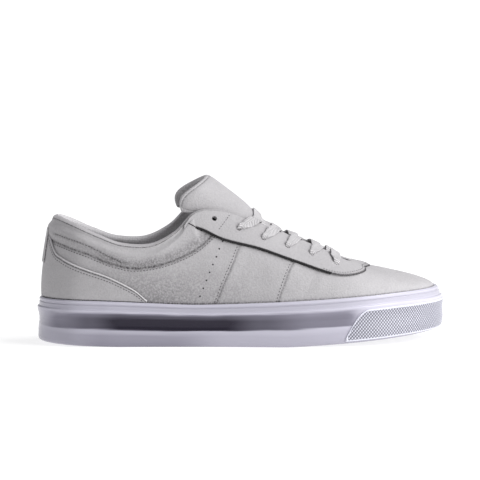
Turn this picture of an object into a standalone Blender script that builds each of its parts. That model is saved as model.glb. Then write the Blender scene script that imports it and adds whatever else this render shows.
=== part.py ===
"""Low skateboarding shoe for the right foot, as its maker would put it together.

The shoe stands on the plane z = 0 with its toe at +X and the outer side of the foot at -Y.
A ring of sections runs round the shoe. Each section starts inside the cup of the sole, rises past
the sole's top edge and ends at the free edge of the upper, which is the collar or the throat.
"""

import math

import bmesh
import bpy
import numpy as np

for old in list(bpy.data.objects):
    bpy.data.objects.remove(old, do_unlink=True)

MM = 0.001
UP = np.array([0.0, 0.0, 1.0])

# Driving sizes
SOLE_LENGTH = 299.0 * MM
BALL_WIDTH = 108.0 * MM
HEEL_HEIGHT = 90.5 * MM
INSTEP_HEIGHT = 98.0 * MM
TONGUE_HEIGHT = 124.0 * MM
BAND_HEIGHT = 34.1 * MM
TOE_SPRING = 8.2 * MM
TOE_SPRING_START = 0.60
TOE_SPRING_BEND = 1.15
TOE_BULGE = 2.2 * MM
TOE_BULGE_START = 0.84
HEEL_BEVEL = 2.0 * MM
HEEL_BEVEL_END = 0.20
HEEL_BEVEL_BEND = 1.4
CLEARANCE = 0.3 * MM

# Sole
BAND_WALL = 2.7 * MM
HEEL_FLOOR = 14.0 * MM
FOREFOOT_FLOOR = 9.0 * MM
FLOOR_DROP_START, FLOOR_DROP_LENGTH = 0.25, 0.40
TREAD_DEPTH = 1.8 * MM
TREAD_WIDTH = 2.6 * MM
TREAD_PITCH = 12.0 * MM
TREAD_WAVE = 2.6 * MM
TREAD_MARGIN = 10.0 * MM
TREAD_HEEL_END, TREAD_FRONT_START = 0.34, 0.50
BUMPER_THICKNESS = 1.2 * MM
BUMPER_START, BUMPER_FULL = 0.742, 0.802
BUMPER_LOW, BUMPER_FIRST, BUMPER_HIGH = 0.05, 0.12, 0.72
BUMPER_COLUMNS = 31

# Upper and what lies on it
UPPER_WALL = 2.0 * MM
COLLAR_PAD = 8.0 * MM
COLLAR_PAD_DEPTH = 42.0 * MM
OVERLAY_THICKNESS = 1.3 * MM
OVERLAY_GAP = 0.4 * MM
OVERLAY_RIM = 0.004
EYESTAY_WIDTH = 17.8 * MM
EYESTAY_TIP = 0.08
COUNTER_LENGTH = 0.262
COUNTER_LOWEST, COUNTER_HIGHEST = 0.02, 0.93
HEEL_TAB_WIDTH = 19.0 * MM
HEEL_TAB_LOW, HEEL_TAB_HIGH = 0.655, 0.935
EYELET_RADIUS = 1.9 * MM
EYELET_INSET = 8.5 * MM
EYELET_FIRST_X = -21.5 * MM
EYELET_PITCH = 17.8 * MM

# Tongue, insole and lace
TONGUE_THICKNESS = 5.0 * MM
TONGUE_CORNERS = (0.108, 0.106)
TONGUE_THIN_EDGE = 0.55
INSOLE_THICKNESS = 4.5 * MM
LACE_WIDTH = 6.4 * MM
LACE_THICKNESS = 1.3 * MM
RING_COLUMNS = 64


def table(columns, rows):
    """A table of numbers as one array for each named column."""
    return dict(zip(columns, np.array(rows, dtype=float).T))


# The ring's sections from the heel to the toe. The x columns are shares of the sole's length from the
# heel. The half widths are shares of the ball width, on the outer and inner side of the foot. The free
# edge's height is a share of the heel height plus a share of the instep height. The columns rise, swell,
# crown and fall bend the section between sole and edge, as shares of the distance between them. pad is
# the share of the collar's padding, and stay the eyestay's width in shares of its plain width.
SECTIONS = table(
    ("sole_x", "sole_out", "sole_in", "edge_x", "edge_out", "edge_in",
     "heel", "instep", "rise", "swell", "crown", "fall", "pad", "stay"),
    [
        (0.000, 0.000, 0.000, 0.037, 0.000, 0.000, 1.000, 0.000, 0.30, 0.020, 0.05, 0.30, 1.00, 0.00),
        (0.020, 0.185, 0.185, 0.049, 0.145, 0.145, 0.995, 0.000, 0.30, 0.020, 0.05, 0.30, 1.00, 0.00),
        (0.070, 0.310, 0.310, 0.088, 0.262, 0.262, 0.945, 0.000, 0.31, 0.030, 0.04, 0.31, 1.00, 0.00),
        (0.150, 0.358, 0.360, 0.144, 0.322, 0.322, 0.866, 0.000, 0.33, 0.050, 0.04, 0.33, 1.00, 0.00),
        (0.233, 0.372, 0.363, 0.206, 0.350, 0.345, 0.797, 0.000, 0.33, 0.060, 0.03, 0.33, 1.00, 0.00),
        (0.307, 0.386, 0.350, 0.278, 0.350, 0.340, 0.800, 0.000, 0.33, 0.050, 0.03, 0.33, 0.95, 0.00),
        (0.373, 0.402, 0.340, 0.336, 0.318, 0.312, 0.913, 0.000, 0.33, 0.040, 0.06, 0.33, 0.55, 0.10),
        (0.433, 0.422, 0.342, 0.377, 0.264, 0.264, 0.000, 0.982, 0.32, 0.000, 0.13, 0.32, 0.10, 0.58),
        (0.507, 0.452, 0.360, 0.438, 0.228, 0.228, 0.000, 1.003, 0.30, -0.040, 0.17, 0.30, 0.00, 1.30),
        (0.587, 0.483, 0.405, 0.517, 0.198, 0.202, 0.000, 0.928, 0.30, -0.060, 0.22, 0.24, 0.00, 1.42),
        (0.673, 0.503, 0.465, 0.598, 0.170, 0.180, 0.000, 0.818, 0.30, -0.060, 0.27, 0.20, 0.00, 1.68),
        (0.760, 0.495, 0.498, 0.667, 0.146, 0.164, 0.000, 0.732, 0.27, -0.060, 0.30, 0.14, 0.00, 2.17),
        (0.847, 0.430, 0.480, 0.717, 0.118, 0.150, 0.000, 0.660, 0.21, -0.050, 0.33, 0.10, 0.00, 1.84),
        (0.927, 0.290, 0.405, 0.748, 0.076, 0.116, 0.000, 0.603, 0.14, -0.030, 0.35, 0.07, 0.00, 1.08),
        (0.978, 0.120, 0.268, 0.765, 0.030, 0.076, 0.000, 0.586, 0.11, -0.020, 0.37, 0.06, 0.00, 0.86),
        (1.000, -0.080, 0.080, 0.773, -0.025, 0.025, 0.000, 0.578, 0.10, -0.020, 0.37, 0.055, 0.00, 0.80),
    ],
)

# Side of the sole from its bottom edge to its top edge, as shares of the band's height there. inset is
# how far the wall stands in from its widest line, in shares of the band wall. toe is how far it bulges
# out at the toe, in shares of the toe's bulge.
BAND_PROFILE = table(
    ("height", "inset", "toe"),
    [
        (0.000, 1.05, 0.00), (0.030, 0.45, 0.20), (0.090, 0.22, 0.45), (0.260, 0.24, 0.80),
        (0.460, 0.52, 1.00), (0.560, 0.50, 1.00), (0.720, 0.10, 0.90), (0.770, 0.00, 0.80),
        (0.795, 0.10, 0.75), (0.810, 0.48, 0.70), (0.975, 0.60, 0.10), (1.000, 0.95, 0.00),
    ],
)

# Height of the sole's top edge along the shoe, as shares of the band's height at the heel
BAND_TOP = table(
    ("x", "height"),
    [
        (0.00, 1.000), (0.06, 0.997), (0.16, 0.978), (0.28, 0.933), (0.36, 0.905), (0.50, 0.933),
        (0.60, 0.973), (0.70, 1.024), (0.80, 1.078), (0.90, 1.128), (1.00, 1.155),
    ],
)

# Upper edge of the heel counter seen from the side, x in shares of the sole's length and height in
# shares of the heel height
COUNTER_EDGE = table(
    ("x", "height"),
    [
        (0.000, 0.955), (0.030, 0.950), (0.035, 0.860), (0.041, 0.745), (0.056, 0.715), (0.084, 0.670),
        (0.122, 0.622), (0.160, 0.580), (0.200, 0.518), (0.240, 0.440), (0.258, 0.385), (0.280, 0.300),
    ],
)

# How far each pair of eyelets is from the throat's edge, in shares of the plain inset, from the ankle
# to the toe
EYELETS = table(("inset",), [(0.85,), (1.40,), (1.72,), (1.75,), (2.05,), (2.95,)])
EYELET_ROWS = len(EYELETS["inset"])

# Centre line of the tongue's face from its hidden front end to its top, with the radius and the half
# width of its half pipe as shares of the ball width
TONGUE_LINE = table(
    ("x", "height", "radius", "half", "thick"),
    [
        (0.811, 0.388, 0.290, 0.200, 0.55), (0.775, 0.418, 0.290, 0.215, 0.60),
        (0.734, 0.480, 0.272, 0.235, 0.70), (0.687, 0.546, 0.265, 0.250, 0.80),
        (0.640, 0.604, 0.255, 0.265, 0.90), (0.594, 0.661, 0.235, 0.280, 1.00),
        (0.547, 0.742, 0.212, 0.295, 1.00), (0.510, 0.829, 0.203, 0.310, 1.00),
        (0.470, 0.906, 0.207, 0.345, 1.00), (0.418, 1.000, 0.235, 0.450, 1.00),
    ],
)


def bend_through(knots, values, places, closed=False):
    """Smooth values at places along knots, through the given values, with a tangent at each knot."""
    knots = np.asarray(knots, dtype=float)
    values = np.asarray(values, dtype=float)
    if closed:
        period = knots[-1] - knots[0]
        steps = np.diff(knots)
        slopes = np.diff(values, axis=0) / steps.reshape((-1,) + (1,) * (values.ndim - 1))
        before = np.concatenate([slopes[-1:], slopes])
        after = np.concatenate([slopes, slopes[:1]])
        lead = np.concatenate([steps[-1:], steps])
        trail = np.concatenate([steps, steps[:1]])
        places = knots[0] + np.mod(np.asarray(places, dtype=float) - knots[0], period)
    else:
        steps = np.diff(knots)
        slopes = np.diff(values, axis=0) / steps.reshape((-1,) + (1,) * (values.ndim - 1))
        before = np.concatenate([slopes[:1], slopes])
        after = np.concatenate([slopes, slopes[-1:]])
        lead = np.concatenate([steps[:1], steps])
        trail = np.concatenate([steps, steps[-1:]])
        places = np.asarray(places, dtype=float)
    shape = (-1,) + (1,) * (values.ndim - 1)
    weight = (trail / (lead + trail)).reshape(shape)
    tangents = before * weight + after * (1 - weight)
    index = np.clip(np.searchsorted(knots, places, side="right") - 1, 0, len(knots) - 2)
    step = (knots[index + 1] - knots[index]).reshape(places.shape + (1,) * (values.ndim - 1))
    share = np.clip((places - knots[index]).reshape(step.shape) / step, 0.0, 1.0)
    square, cube = share**2, share**3
    return (
        (2 * cube - 3 * square + 1) * values[index]
        + (cube - 2 * square + share) * step * tangents[index]
        + (3 * square - 2 * cube) * values[index + 1]
        + (cube - square) * step * tangents[index + 1]
    )


def ring_knots():
    """Places of the sections round the ring, from 0 at the heel through 0.5 at the toe back to 1."""
    x = SECTIONS["sole_x"] * SOLE_LENGTH
    lengths = [np.hypot(np.diff(x), np.diff(SECTIONS[side] * BALL_WIDTH)) for side in ("sole_out", "sole_in")]
    half = np.concatenate([[0.0], np.cumsum(sum(lengths))])
    half = 0.5 * half / half[-1]
    return np.concatenate([half, 1.0 - half[-2::-1]])


KNOTS = ring_knots()


def ring_value(outer, inner, places):
    """A column of the sections round the ring, from its outer and inner half."""
    return bend_through(KNOTS, np.concatenate([outer, inner[-2::-1]]), places, closed=True)


def section_value(name, places):
    return ring_value(SECTIONS[name], SECTIONS[name], places)


def outline(places):
    """Plan of the sole's widest line and its outward direction, at places round the ring."""
    def at(where):
        x = section_value("sole_x", where) * SOLE_LENGTH - SOLE_LENGTH / 2
        y = ring_value(-SECTIONS["sole_out"], SECTIONS["sole_in"], where) * BALL_WIDTH
        return np.stack([x, y], axis=-1)

    places = np.asarray(places, dtype=float)
    step = 1e-4
    along = at(places + step) - at(places - step)
    along /= np.linalg.norm(along, axis=-1, keepdims=True)
    outward = np.stack([along[..., 1], -along[..., 0]], axis=-1)
    return at(places), outward


def length_share(x):
    return np.clip(np.asarray(x) / SOLE_LENGTH + 0.5, 0.0, 1.0)


def sole_bottom(x):
    """Height of the underside, flat from heel to ball, rising to the toe and a little at the back."""
    share = length_share(x)
    toe = np.clip((share - TOE_SPRING_START) / (1.0 - TOE_SPRING_START), 0.0, 1.0) ** TOE_SPRING_BEND
    heel = np.clip((HEEL_BEVEL_END - share) / HEEL_BEVEL_END, 0.0, 1.0) ** HEEL_BEVEL_BEND
    return TOE_SPRING * toe + HEEL_BEVEL * heel


def sole_top(x):
    return bend_through(BAND_TOP["x"], BAND_TOP["height"], length_share(x)) * BAND_HEIGHT


def cup_floor(x):
    """Height of the floor inside the cup, which drops from heel to forefoot."""
    drop = np.clip((length_share(x) - FLOOR_DROP_START) / FLOOR_DROP_LENGTH, 0.0, 1.0)
    drop = drop * drop * (3 - 2 * drop)
    return sole_bottom(x) + HEEL_FLOOR + (FOREFOOT_FLOOR - HEEL_FLOOR) * drop


def band_inset(heights, x):
    """How far the sole's side stands in from its widest line at heights in shares of the band's."""
    toe = np.clip((length_share(x) - TOE_BULGE_START) / (1.0 - TOE_BULGE_START), 0.0, 1.0)
    toe = toe * toe * (3 - 2 * toe)
    inset, bulge = (np.interp(heights, BAND_PROFILE["height"], BAND_PROFILE[name]) for name in ("inset", "toe"))
    return inset * BAND_WALL - bulge * toe * TOE_BULGE


CUP_INSET = BAND_WALL * 1.6
UPPER_INSET = CUP_INSET + CLEARANCE


def ring_points(places, inset, height):
    """A ring in from the widest line, at one height or a height for each place."""
    plan, outward = outline(places)
    return np.concatenate([plan - outward * np.reshape(inset, (-1, 1)),
                           np.broadcast_to(np.reshape(height, (-1, 1)), (len(plan), 1))], axis=1)


def skin(places, rises):
    """Outer face of the upper. rises runs from -1 on the cup's floor, through 0 at the sole's top
    edge, to 1 at the free edge. Returns an array of places by rises by three."""
    places = np.asarray(places, dtype=float)
    rises = np.asarray(rises, dtype=float)
    plan, outward = outline(places)
    normal = np.concatenate([outward, np.zeros((len(places), 1))], axis=1)
    foot = np.concatenate([plan - outward * UPPER_INSET, sole_top(plan[:, :1])], axis=1)
    floor = cup_floor(plan[:, 0]) + CLEARANCE
    edge = np.stack([
        section_value("edge_x", places) * SOLE_LENGTH - SOLE_LENGTH / 2,
        ring_value(-SECTIONS["edge_out"], SECTIONS["edge_in"], places) * BALL_WIDTH,
        section_value("heel", places) * HEEL_HEIGHT + section_value("instep", places) * INSTEP_HEIGHT,
    ], axis=1)
    reach = np.linalg.norm(edge - foot, axis=1)[:, None]
    bend = {name: section_value(name, places)[:, None] for name in ("rise", "swell", "crown", "fall")}
    low = foot + reach * (bend["swell"] * normal + bend["rise"] * UP)
    high = edge + reach * (bend["crown"] * normal - bend["fall"] * UP)
    t = np.clip(rises, 0.0, 1.0)[None, :, None]
    face = ((1 - t) ** 3 * foot[:, None] + 3 * (1 - t) ** 2 * t * low[:, None]
            + 3 * (1 - t) * t**2 * high[:, None] + t**3 * edge[:, None])
    sunk = np.clip(-rises, 0.0, 1.0)[None, :] * (foot[:, 2] - floor)[:, None]
    face[..., 2] -= sunk
    return face


def skin_normals(places, rises):
    places = np.asarray(places, dtype=float)
    rises = np.asarray(rises, dtype=float)
    du, dt = 1e-4, 1e-3
    along = skin(places + du, rises) - skin(places - du, rises)
    upward = skin(places, np.minimum(rises + dt, 1.0)) - skin(places, np.maximum(rises - dt, -1.0))
    normals = np.cross(along, upward)
    return normals / np.linalg.norm(normals, axis=-1, keepdims=True)


def edge_distances(places, count=161):
    """For each place the rises from foot to edge, and how far each lies from the free edge."""
    rises = np.linspace(0.0, 1.0, count)
    face = skin(places, rises)
    steps = np.linalg.norm(np.diff(face, axis=1), axis=2)
    total = np.concatenate([np.zeros((len(face), 1)), np.cumsum(steps, axis=1)], axis=1)
    return rises, face, total[:, -1:] - total


def rise_at_distance(places, distance):
    """The rise at a distance from the free edge, for each place."""
    rises, _, gaps = edge_distances(places)
    distance = np.broadcast_to(distance, (len(gaps),))
    return np.array([np.interp(-d, -gap, rises) for d, gap in zip(distance, gaps)])


def wall_thickness(places, rises):
    """The upper's wall, thickened to the padding round the collar."""
    dense, _, gaps = edge_distances(places)
    gap = np.array([np.interp(np.clip(rises, 0, 1), dense, row) for row in gaps])
    fade = np.clip((COLLAR_PAD_DEPTH - gap) / (0.5 * COLLAR_PAD_DEPTH), 0.0, 1.0)
    fade = fade * fade * (3 - 2 * fade)
    pad = np.clip(section_value("pad", places), 0.0, 1.0)[:, None]
    return UPPER_WALL + (COLLAR_PAD - UPPER_WALL) * pad * fade


def finish(name, colour, roughness):
    """A plain material with one colour."""
    material = bpy.data.materials.new(name)
    material.use_nodes = True
    shader = material.node_tree.nodes["Principled BSDF"]
    shader.inputs["Base Color"].default_value = (*colour, 1.0)
    shader.inputs["Roughness"].default_value = roughness
    shader.inputs["Metallic"].default_value = 0.0
    return material


def new_solid(name, points, faces, material):
    """One closed solid, shaded smooth but for its sharp edges."""
    mesh = bpy.data.meshes.new(name)
    mesh.from_pydata([tuple(point) for point in points], [], faces)
    work = bmesh.new()
    work.from_mesh(mesh)
    bmesh.ops.recalc_face_normals(work, faces=work.faces)
    work.to_mesh(mesh)
    work.free()
    mesh.shade_smooth()
    mesh.set_sharp_from_angle(angle=math.radians(40))
    piece = bpy.data.objects.new(name, mesh)
    bpy.context.scene.collection.objects.link(piece)
    if material is not None:
        mesh.materials.append(material)
    return piece


def cut(piece, cutter, operation="DIFFERENCE"):
    """Boolean of a hidden cutter on a piece."""
    cutter.hide_render = True
    cutter.display_type = "WIRE"
    boolean = piece.modifiers.new(cutter.name, "BOOLEAN")
    boolean.operation = operation
    boolean.solver = "EXACT"
    boolean.object = cutter


def loft_faces(columns, loop, ring, start=0):
    """Faces between closed loops of points, closed into a ring or capped across at both ends."""
    faces = []
    for i in range(columns if ring else columns - 1):
        here, there = start + i * loop, start + ((i + 1) % columns) * loop
        for j in range(loop):
            k = (j + 1) % loop
            faces.append((here + j, there + j, there + k, here + k))
    if not ring:
        for end in (start, start + (columns - 1) * loop):
            for j in range(loop // 2 - 1):
                faces.append((end + j, end + j + 1, end + loop - 2 - j, end + loop - 1 - j))
    return faces


def loft(name, sections, material, ring=False):
    sections = np.asarray(sections)
    columns, loop = sections.shape[:2]
    return new_solid(name, sections.reshape(-1, 3), loft_faces(columns, loop, ring), material)


def plate_faces(ring_start, columns):
    """Strips across a ring of points, from the outer side of the foot to the inner side."""
    half = columns // 2
    faces = [(ring_start, ring_start + 1, ring_start + columns - 1)]
    for i in range(1, half - 1):
        faces.append((ring_start + i, ring_start + i + 1, ring_start + columns - i - 1, ring_start + columns - i))
    faces.append((ring_start + half - 1, ring_start + half, ring_start + half + 1))
    return faces


def stack(name, rings, material):
    """A solid from rings one on another, closed across its first and last ring."""
    columns = len(rings[0])
    faces = plate_faces(0, columns)
    for level in range(len(rings) - 1):
        for i in range(columns):
            k = (i + 1) % columns
            low, high = level * columns, (level + 1) * columns
            faces.append((low + i, low + k, high + k, high + i))
    faces += plate_faces((len(rings) - 1) * columns, columns)
    return new_solid(name, np.concatenate(rings), faces, material)


def slab_on_skin(places, low, high, rows, lift, thickness):
    """Loops of a layer on the upper between two rises at each place, lifted off its face."""
    loops = []
    for place, bottom, top in zip(places, low, high):
        rises = np.linspace(bottom, top, rows)
        face = skin([place], rises)[0]
        normal = skin_normals([place], rises)[0]
        loops.append(np.concatenate([face + normal * (lift + thickness), (face + normal * lift)[::-1]]))
    return loops


def ring_places():
    return np.arange(RING_COLUMNS) / RING_COLUMNS


def make_outsole(material):
    """Cup sole: side band with its steps, cup for the upper, and tread cut in its underside."""
    places = ring_places()
    x = outline(places)[0][:, 0]
    bottom, top = sole_bottom(x), sole_top(x)
    rings = [
        ring_points(places, band_inset(height, x), bottom + (top - bottom) * height)
        for height in BAND_PROFILE["height"]
    ]
    rings.append(ring_points(places, CUP_INSET, top))
    rings.append(ring_points(places, CUP_INSET, cup_floor(x)))
    sole = stack("outsole", rings, material)
    cut(sole, tread_cutter())
    return sole


def half_width(x, side):
    """Half width of the sole at x on one side of the foot, -1 for the outer and 1 for the inner."""
    places = np.linspace(0.0, 0.5, 200) if side < 0 else np.linspace(1.0, 0.5, 200)
    plan = outline(places)[0]
    return side * np.interp(x, plan[:, 0], plan[:, 1])


def tread_cutter():
    """Zigzag grooves across the forefoot and the heel, with a plain shank between them."""
    points, faces = [], []
    heel_start = -SOLE_LENGTH / 2 + TREAD_MARGIN * 1.3
    heel_end = (TREAD_HEEL_END - 0.5) * SOLE_LENGTH
    front_start = (TREAD_FRONT_START - 0.5) * SOLE_LENGTH
    front_end = SOLE_LENGTH / 2 - TREAD_MARGIN * 1.6
    rows = list(np.arange(heel_start, heel_end, TREAD_PITCH))
    rows += list(np.arange(front_start, front_end, TREAD_PITCH))
    for x in rows:
        left = -half_width(x, -1) + TREAD_MARGIN
        right = half_width(x, 1) - TREAD_MARGIN
        turns = max(3, int(round((right - left) / (TREAD_PITCH * 1.3))))
        loops = []
        for i in range(turns + 1):
            y = left + (right - left) * i / turns
            middle = x + TREAD_WAVE * (1 if i % 2 else -1)
            low = sole_bottom(middle)
            loops.append([
                (middle - TREAD_WIDTH / 2, y, low - TREAD_DEPTH),
                (middle + TREAD_WIDTH / 2, y, low - TREAD_DEPTH),
                (middle + TREAD_WIDTH / 2, y, low + TREAD_DEPTH),
                (middle - TREAD_WIDTH / 2, y, low + TREAD_DEPTH),
            ])
        faces += loft_faces(len(loops), 4, False, start=len(points))
        points += [corner for loop in loops for corner in loop]
    return new_solid("tread_cutter", points, faces, None)


def make_toe_bumper(material):
    """Rubber band round the toe, on the sole's side below its widest line."""
    dense = np.linspace(0.3, 0.7, 800)
    inside = dense[length_share(outline(dense)[0][:, 0]) >= BUMPER_START]
    places = np.linspace(inside[0], inside[-1], BUMPER_COLUMNS)
    x = outline(places)[0][:, 0]
    bottom, top = sole_bottom(x), sole_top(x)
    grow = np.clip((length_share(x) - BUMPER_START) / (BUMPER_FULL - BUMPER_START), 0.0, 1.0)
    upper_share = BUMPER_FIRST + (BUMPER_HIGH - BUMPER_FIRST) * np.sin(grow * math.pi / 2)
    between = BAND_PROFILE["height"][(BAND_PROFILE["height"] > BUMPER_LOW) & (BAND_PROFILE["height"] < BUMPER_HIGH)]
    levels = (np.array([BUMPER_LOW, *between, BUMPER_HIGH]) - BUMPER_LOW) / (BUMPER_HIGH - BUMPER_LOW)
    loops = []
    for i in range(len(places)):
        heights = BUMPER_LOW + (upper_share[i] - BUMPER_LOW) * levels
        inset = band_inset(heights, x[i])
        z = bottom[i] + (top[i] - bottom[i]) * heights
        face = [ring_points(places[i:i + 1], value - CLEARANCE - BUMPER_THICKNESS, level)[0]
                for value, level in zip(inset, z)]
        back = [ring_points(places[i:i + 1], value - CLEARANCE, level)[0] for value, level in zip(inset, z)]
        loops.append(face + back[::-1])
    return loft("toe_bumper", loops, material)


def make_upper(material):
    """Hollow shell with a real wall, padded at the collar, open at the top and underneath."""
    places = ring_places()
    rises = np.array([-1.0, 0.0, 0.07, 0.17, 0.30, 0.45, 0.60, 0.75, 0.89, 1.0])
    outer = skin(places, rises)
    normals = skin_normals(places, rises)
    wall = wall_thickness(places, rises)[..., None]
    inner = outer - normals * wall
    tangent = outer[:, -1] - outer[:, -2]
    tangent /= np.linalg.norm(tangent, axis=1, keepdims=True)
    centre = (outer[:, -1] + inner[:, -1]) / 2
    rim = [
        centre + wall[:, -1] / 2 * (normals[:, -1] * math.cos(angle) + tangent * math.sin(angle))
        for angle in np.radians([45, 90, 135])
    ]
    loops = np.concatenate([outer, np.stack(rim, axis=1), inner[:, ::-1]], axis=1)
    shell = loft("upper", loops, material, ring=True)
    cut(shell, eyelet_cutter("upper_eyelet_cutter"))
    return shell


def place_beside_throat(x, distance, side):
    """Ring place and rise at a distance from the throat's edge, on one side, where x is as asked."""
    places = np.linspace(0.18, 0.49, 160)
    if side > 0:
        places = 1.0 - places
    rises = rise_at_distance(places, distance)
    line = np.array([skin([place], [rise])[0, 0, 0] for place, rise in zip(places, rises)])
    place = np.interp(x, line, places)
    return place, rise_at_distance(np.array([place]), distance)[0]


def eyelet_x(row):
    return EYELET_FIRST_X + row * EYELET_PITCH


def eyelet_inset(row):
    return EYELET_INSET * EYELETS["inset"][row]


def eyelet_place(row, side):
    return place_beside_throat(eyelet_x(row), eyelet_inset(row), side)


def eyelet_cutter(name):
    """Punches for all the eyelets, square to the upper's face."""
    sides = 10
    reach = UPPER_WALL * 3
    points, faces = [], []
    for row in range(EYELET_ROWS):
        for side in (-1, 1):
            place, rise = eyelet_place(row, side)
            centre = skin([place], [rise])[0, 0]
            normal = skin_normals([place], [rise])[0, 0]
            across = np.cross(normal, UP)
            across /= np.linalg.norm(across)
            along = np.cross(normal, across)
            start = len(points)
            for depth in (-reach, reach):
                for i in range(sides):
                    turn = 2 * math.pi * i / sides
                    points.append(centre + normal * depth
                                  + EYELET_RADIUS * (across * math.cos(turn) + along * math.sin(turn)))
            faces.append(tuple(range(start, start + sides)))
            faces.append(tuple(range(start + sides, start + 2 * sides)))
            for i in range(sides):
                k = (i + 1) % sides
                faces.append((start + i, start + k, start + sides + k, start + sides + i))
    return new_solid(name, points, faces, None)


def make_eyestay(material):
    """Overlay along both sides of the throat and round its front, with the eyelets punched in it."""
    places = ring_places()
    places = places[(places > KNOTS[6]) & (places < 1.0 - KNOTS[6])]
    share = np.maximum(section_value("stay", places), EYESTAY_TIP)
    low = rise_at_distance(places, EYESTAY_WIDTH * share)
    top = np.full(len(places), 1.0 - OVERLAY_RIM)
    loops = slab_on_skin(places, low, top, 6, OVERLAY_GAP, OVERLAY_THICKNESS)
    stay = loft("eyestay", loops, material)
    cut(stay, eyelet_cutter("eyestay_eyelet_cutter"))
    return stay


def make_heel_counter(material):
    """Overlay round the heel, from the sole up to its swept upper edge."""
    reach = np.linspace(-0.5, 0.5, 2001)
    within = reach[length_share(outline(reach)[0][:, 0]) < COUNTER_LENGTH]
    places = np.linspace(within[0], within[-1], 29)
    rises, face, _ = edge_distances(places)
    low = np.full(len(places), COUNTER_LOWEST)
    high = []
    for line in face:
        edge = np.interp(length_share(line[:, 0]), COUNTER_EDGE["x"], COUNTER_EDGE["height"]) * HEEL_HEIGHT
        above = np.nonzero(line[:, 2] > edge)[0]
        high.append(rises[above[0]] if len(above) else COUNTER_HIGHEST)
    high = np.clip(high, COUNTER_LOWEST + 0.03, COUNTER_HIGHEST)
    loops = slab_on_skin(places, low, high, 6, OVERLAY_GAP, OVERLAY_THICKNESS)
    return loft("heel_counter", loops, material)


def make_heel_tab(material):
    """Strip up the back seam, over the counter."""
    reach = np.linspace(-0.06, 0.06, 401)
    width = outline(reach)[0][:, 1]
    edge = np.interp(HEEL_TAB_WIDTH / 2, -width, reach)
    places = np.linspace(-edge, edge, 7)
    rises, face, _ = edge_distances(places)
    low = [np.interp(HEEL_TAB_LOW * HEEL_HEIGHT, row[:, 2], rises) for row in face]
    high = [np.interp(HEEL_TAB_HIGH * HEEL_HEIGHT, row[:, 2], rises) for row in face]
    lift = OVERLAY_GAP + OVERLAY_THICKNESS + CLEARANCE
    return loft("heel_tab", slab_on_skin(places, low, high, 5, lift, OVERLAY_THICKNESS), material)


def tongue_frame(shares):
    """Centre points, directions and half-pipe sizes of the tongue at shares of its length."""
    line = np.stack([TONGUE_LINE["x"] * SOLE_LENGTH - SOLE_LENGTH / 2,
                     TONGUE_LINE["height"] * TONGUE_HEIGHT], axis=1)
    knots = np.concatenate([[0.0], np.cumsum(np.linalg.norm(np.diff(line, axis=0), axis=1))])
    length = knots[-1]
    places = np.clip(shares, 0.0, 1.0) * length
    centre = bend_through(knots, line, places)
    ahead = bend_through(knots, line, np.minimum(places + MM, length))
    behind = bend_through(knots, line, np.maximum(places - MM, 0.0))
    along = ahead - behind
    along /= np.linalg.norm(along, axis=1, keepdims=True)
    beyond = (np.asarray(shares) - 1.0).clip(0.0)[:, None] * length
    centre = centre + along * beyond
    sizes = [bend_through(knots, TONGUE_LINE[name], places) for name in ("radius", "half", "thick")]
    return centre, along, sizes[0] * BALL_WIDTH, sizes[1] * BALL_WIDTH, sizes[2] * TONGUE_THICKNESS


def tongue_face(shares, turns):
    """Outer face of the tongue. turns runs from -1 to 1 across it. Gives points and normals."""
    centre, along, radius, half, thick = tongue_frame(shares)
    axis = np.stack([along[:, 0], np.zeros(len(along)), along[:, 1]], axis=1)
    lift = np.stack([along[:, 1], np.zeros(len(along)), -along[:, 0]], axis=1)
    angle = turns * half / radius
    side = np.array([0.0, 1.0, 0.0])
    normal = lift * np.cos(angle)[:, None] + side * np.sin(angle)[:, None]
    start = np.stack([centre[:, 0], np.zeros(len(centre)), centre[:, 1]], axis=1)
    return start - lift * radius[:, None] + normal * radius[:, None], normal, axis, thick


def make_tongue(material):
    """Padded tongue, flat under the lace and curled to a half pipe with rounded corners at its top."""
    columns, rows = 12, 16
    turns = np.linspace(-1.0, 1.0, columns)
    flare, corner = TONGUE_CORNERS
    end = 1.0 + flare * turns**2 - corner * turns**8
    loops = []
    for turn, stop in zip(turns, end):
        shares = np.linspace(0.0, stop, rows)
        face, normal, _, thick = tongue_face(shares, np.full(rows, turn))
        taper = 1.0 - TONGUE_THIN_EDGE * np.abs(turn) ** 4
        loops.append(np.concatenate([face, (face - normal * (thick * taper)[:, None])[::-1]]))
    return loft("tongue", loops, material)


def make_insole(material):
    """Footbed on the cup's floor, inside the upper."""
    places = ring_places()
    x = outline(places)[0][:, 0]
    floor = cup_floor(x) + CLEARANCE
    inset = UPPER_INSET + UPPER_WALL + 2 * CLEARANCE
    rounding = 0.25 * INSOLE_THICKNESS
    rings = [
        ring_points(places, inset, floor),
        ring_points(places, inset, floor + INSOLE_THICKNESS - rounding),
        ring_points(places, inset + rounding, floor + INSOLE_THICKNESS),
    ]
    return stack("insole", rings, material)


def tongue_at(x, y):
    """Point on the tongue's face at a place seen from above, its normal and the way along it."""
    shares = np.linspace(0.0, 1.0, 300)
    radius, half = tongue_frame(shares)[2:4]
    turns = np.arcsin(np.clip(y / radius, -1.0, 1.0)) * radius / half
    face, normal, axis, _ = tongue_face(shares, turns)
    order = np.argsort(face[:, 0])
    found = [np.array([np.interp(x, face[order, 0], values[order, i]) for i in range(3)])
             for values in (face, normal, axis)]
    return found[0], found[1] / np.linalg.norm(found[1]), found[2] / np.linalg.norm(found[2])


LACE_LIFT = CLEARANCE + LACE_THICKNESS / 2
LACE_LEAN = 0.34

# Where a crossing lies over the tongue: how far on to the next eyelets, how far out to the throat's edge
# on its own side, and how many lace layers over the tongue
LACE_ROUTE = table(
    ("share", "across", "layers"),
    [
        (0.42, 0.62, 2.9), (0.50, 0.00, 0.7), (0.60, -0.40, 0.1), (0.68, -0.66, 0.0),
    ],
)


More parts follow.
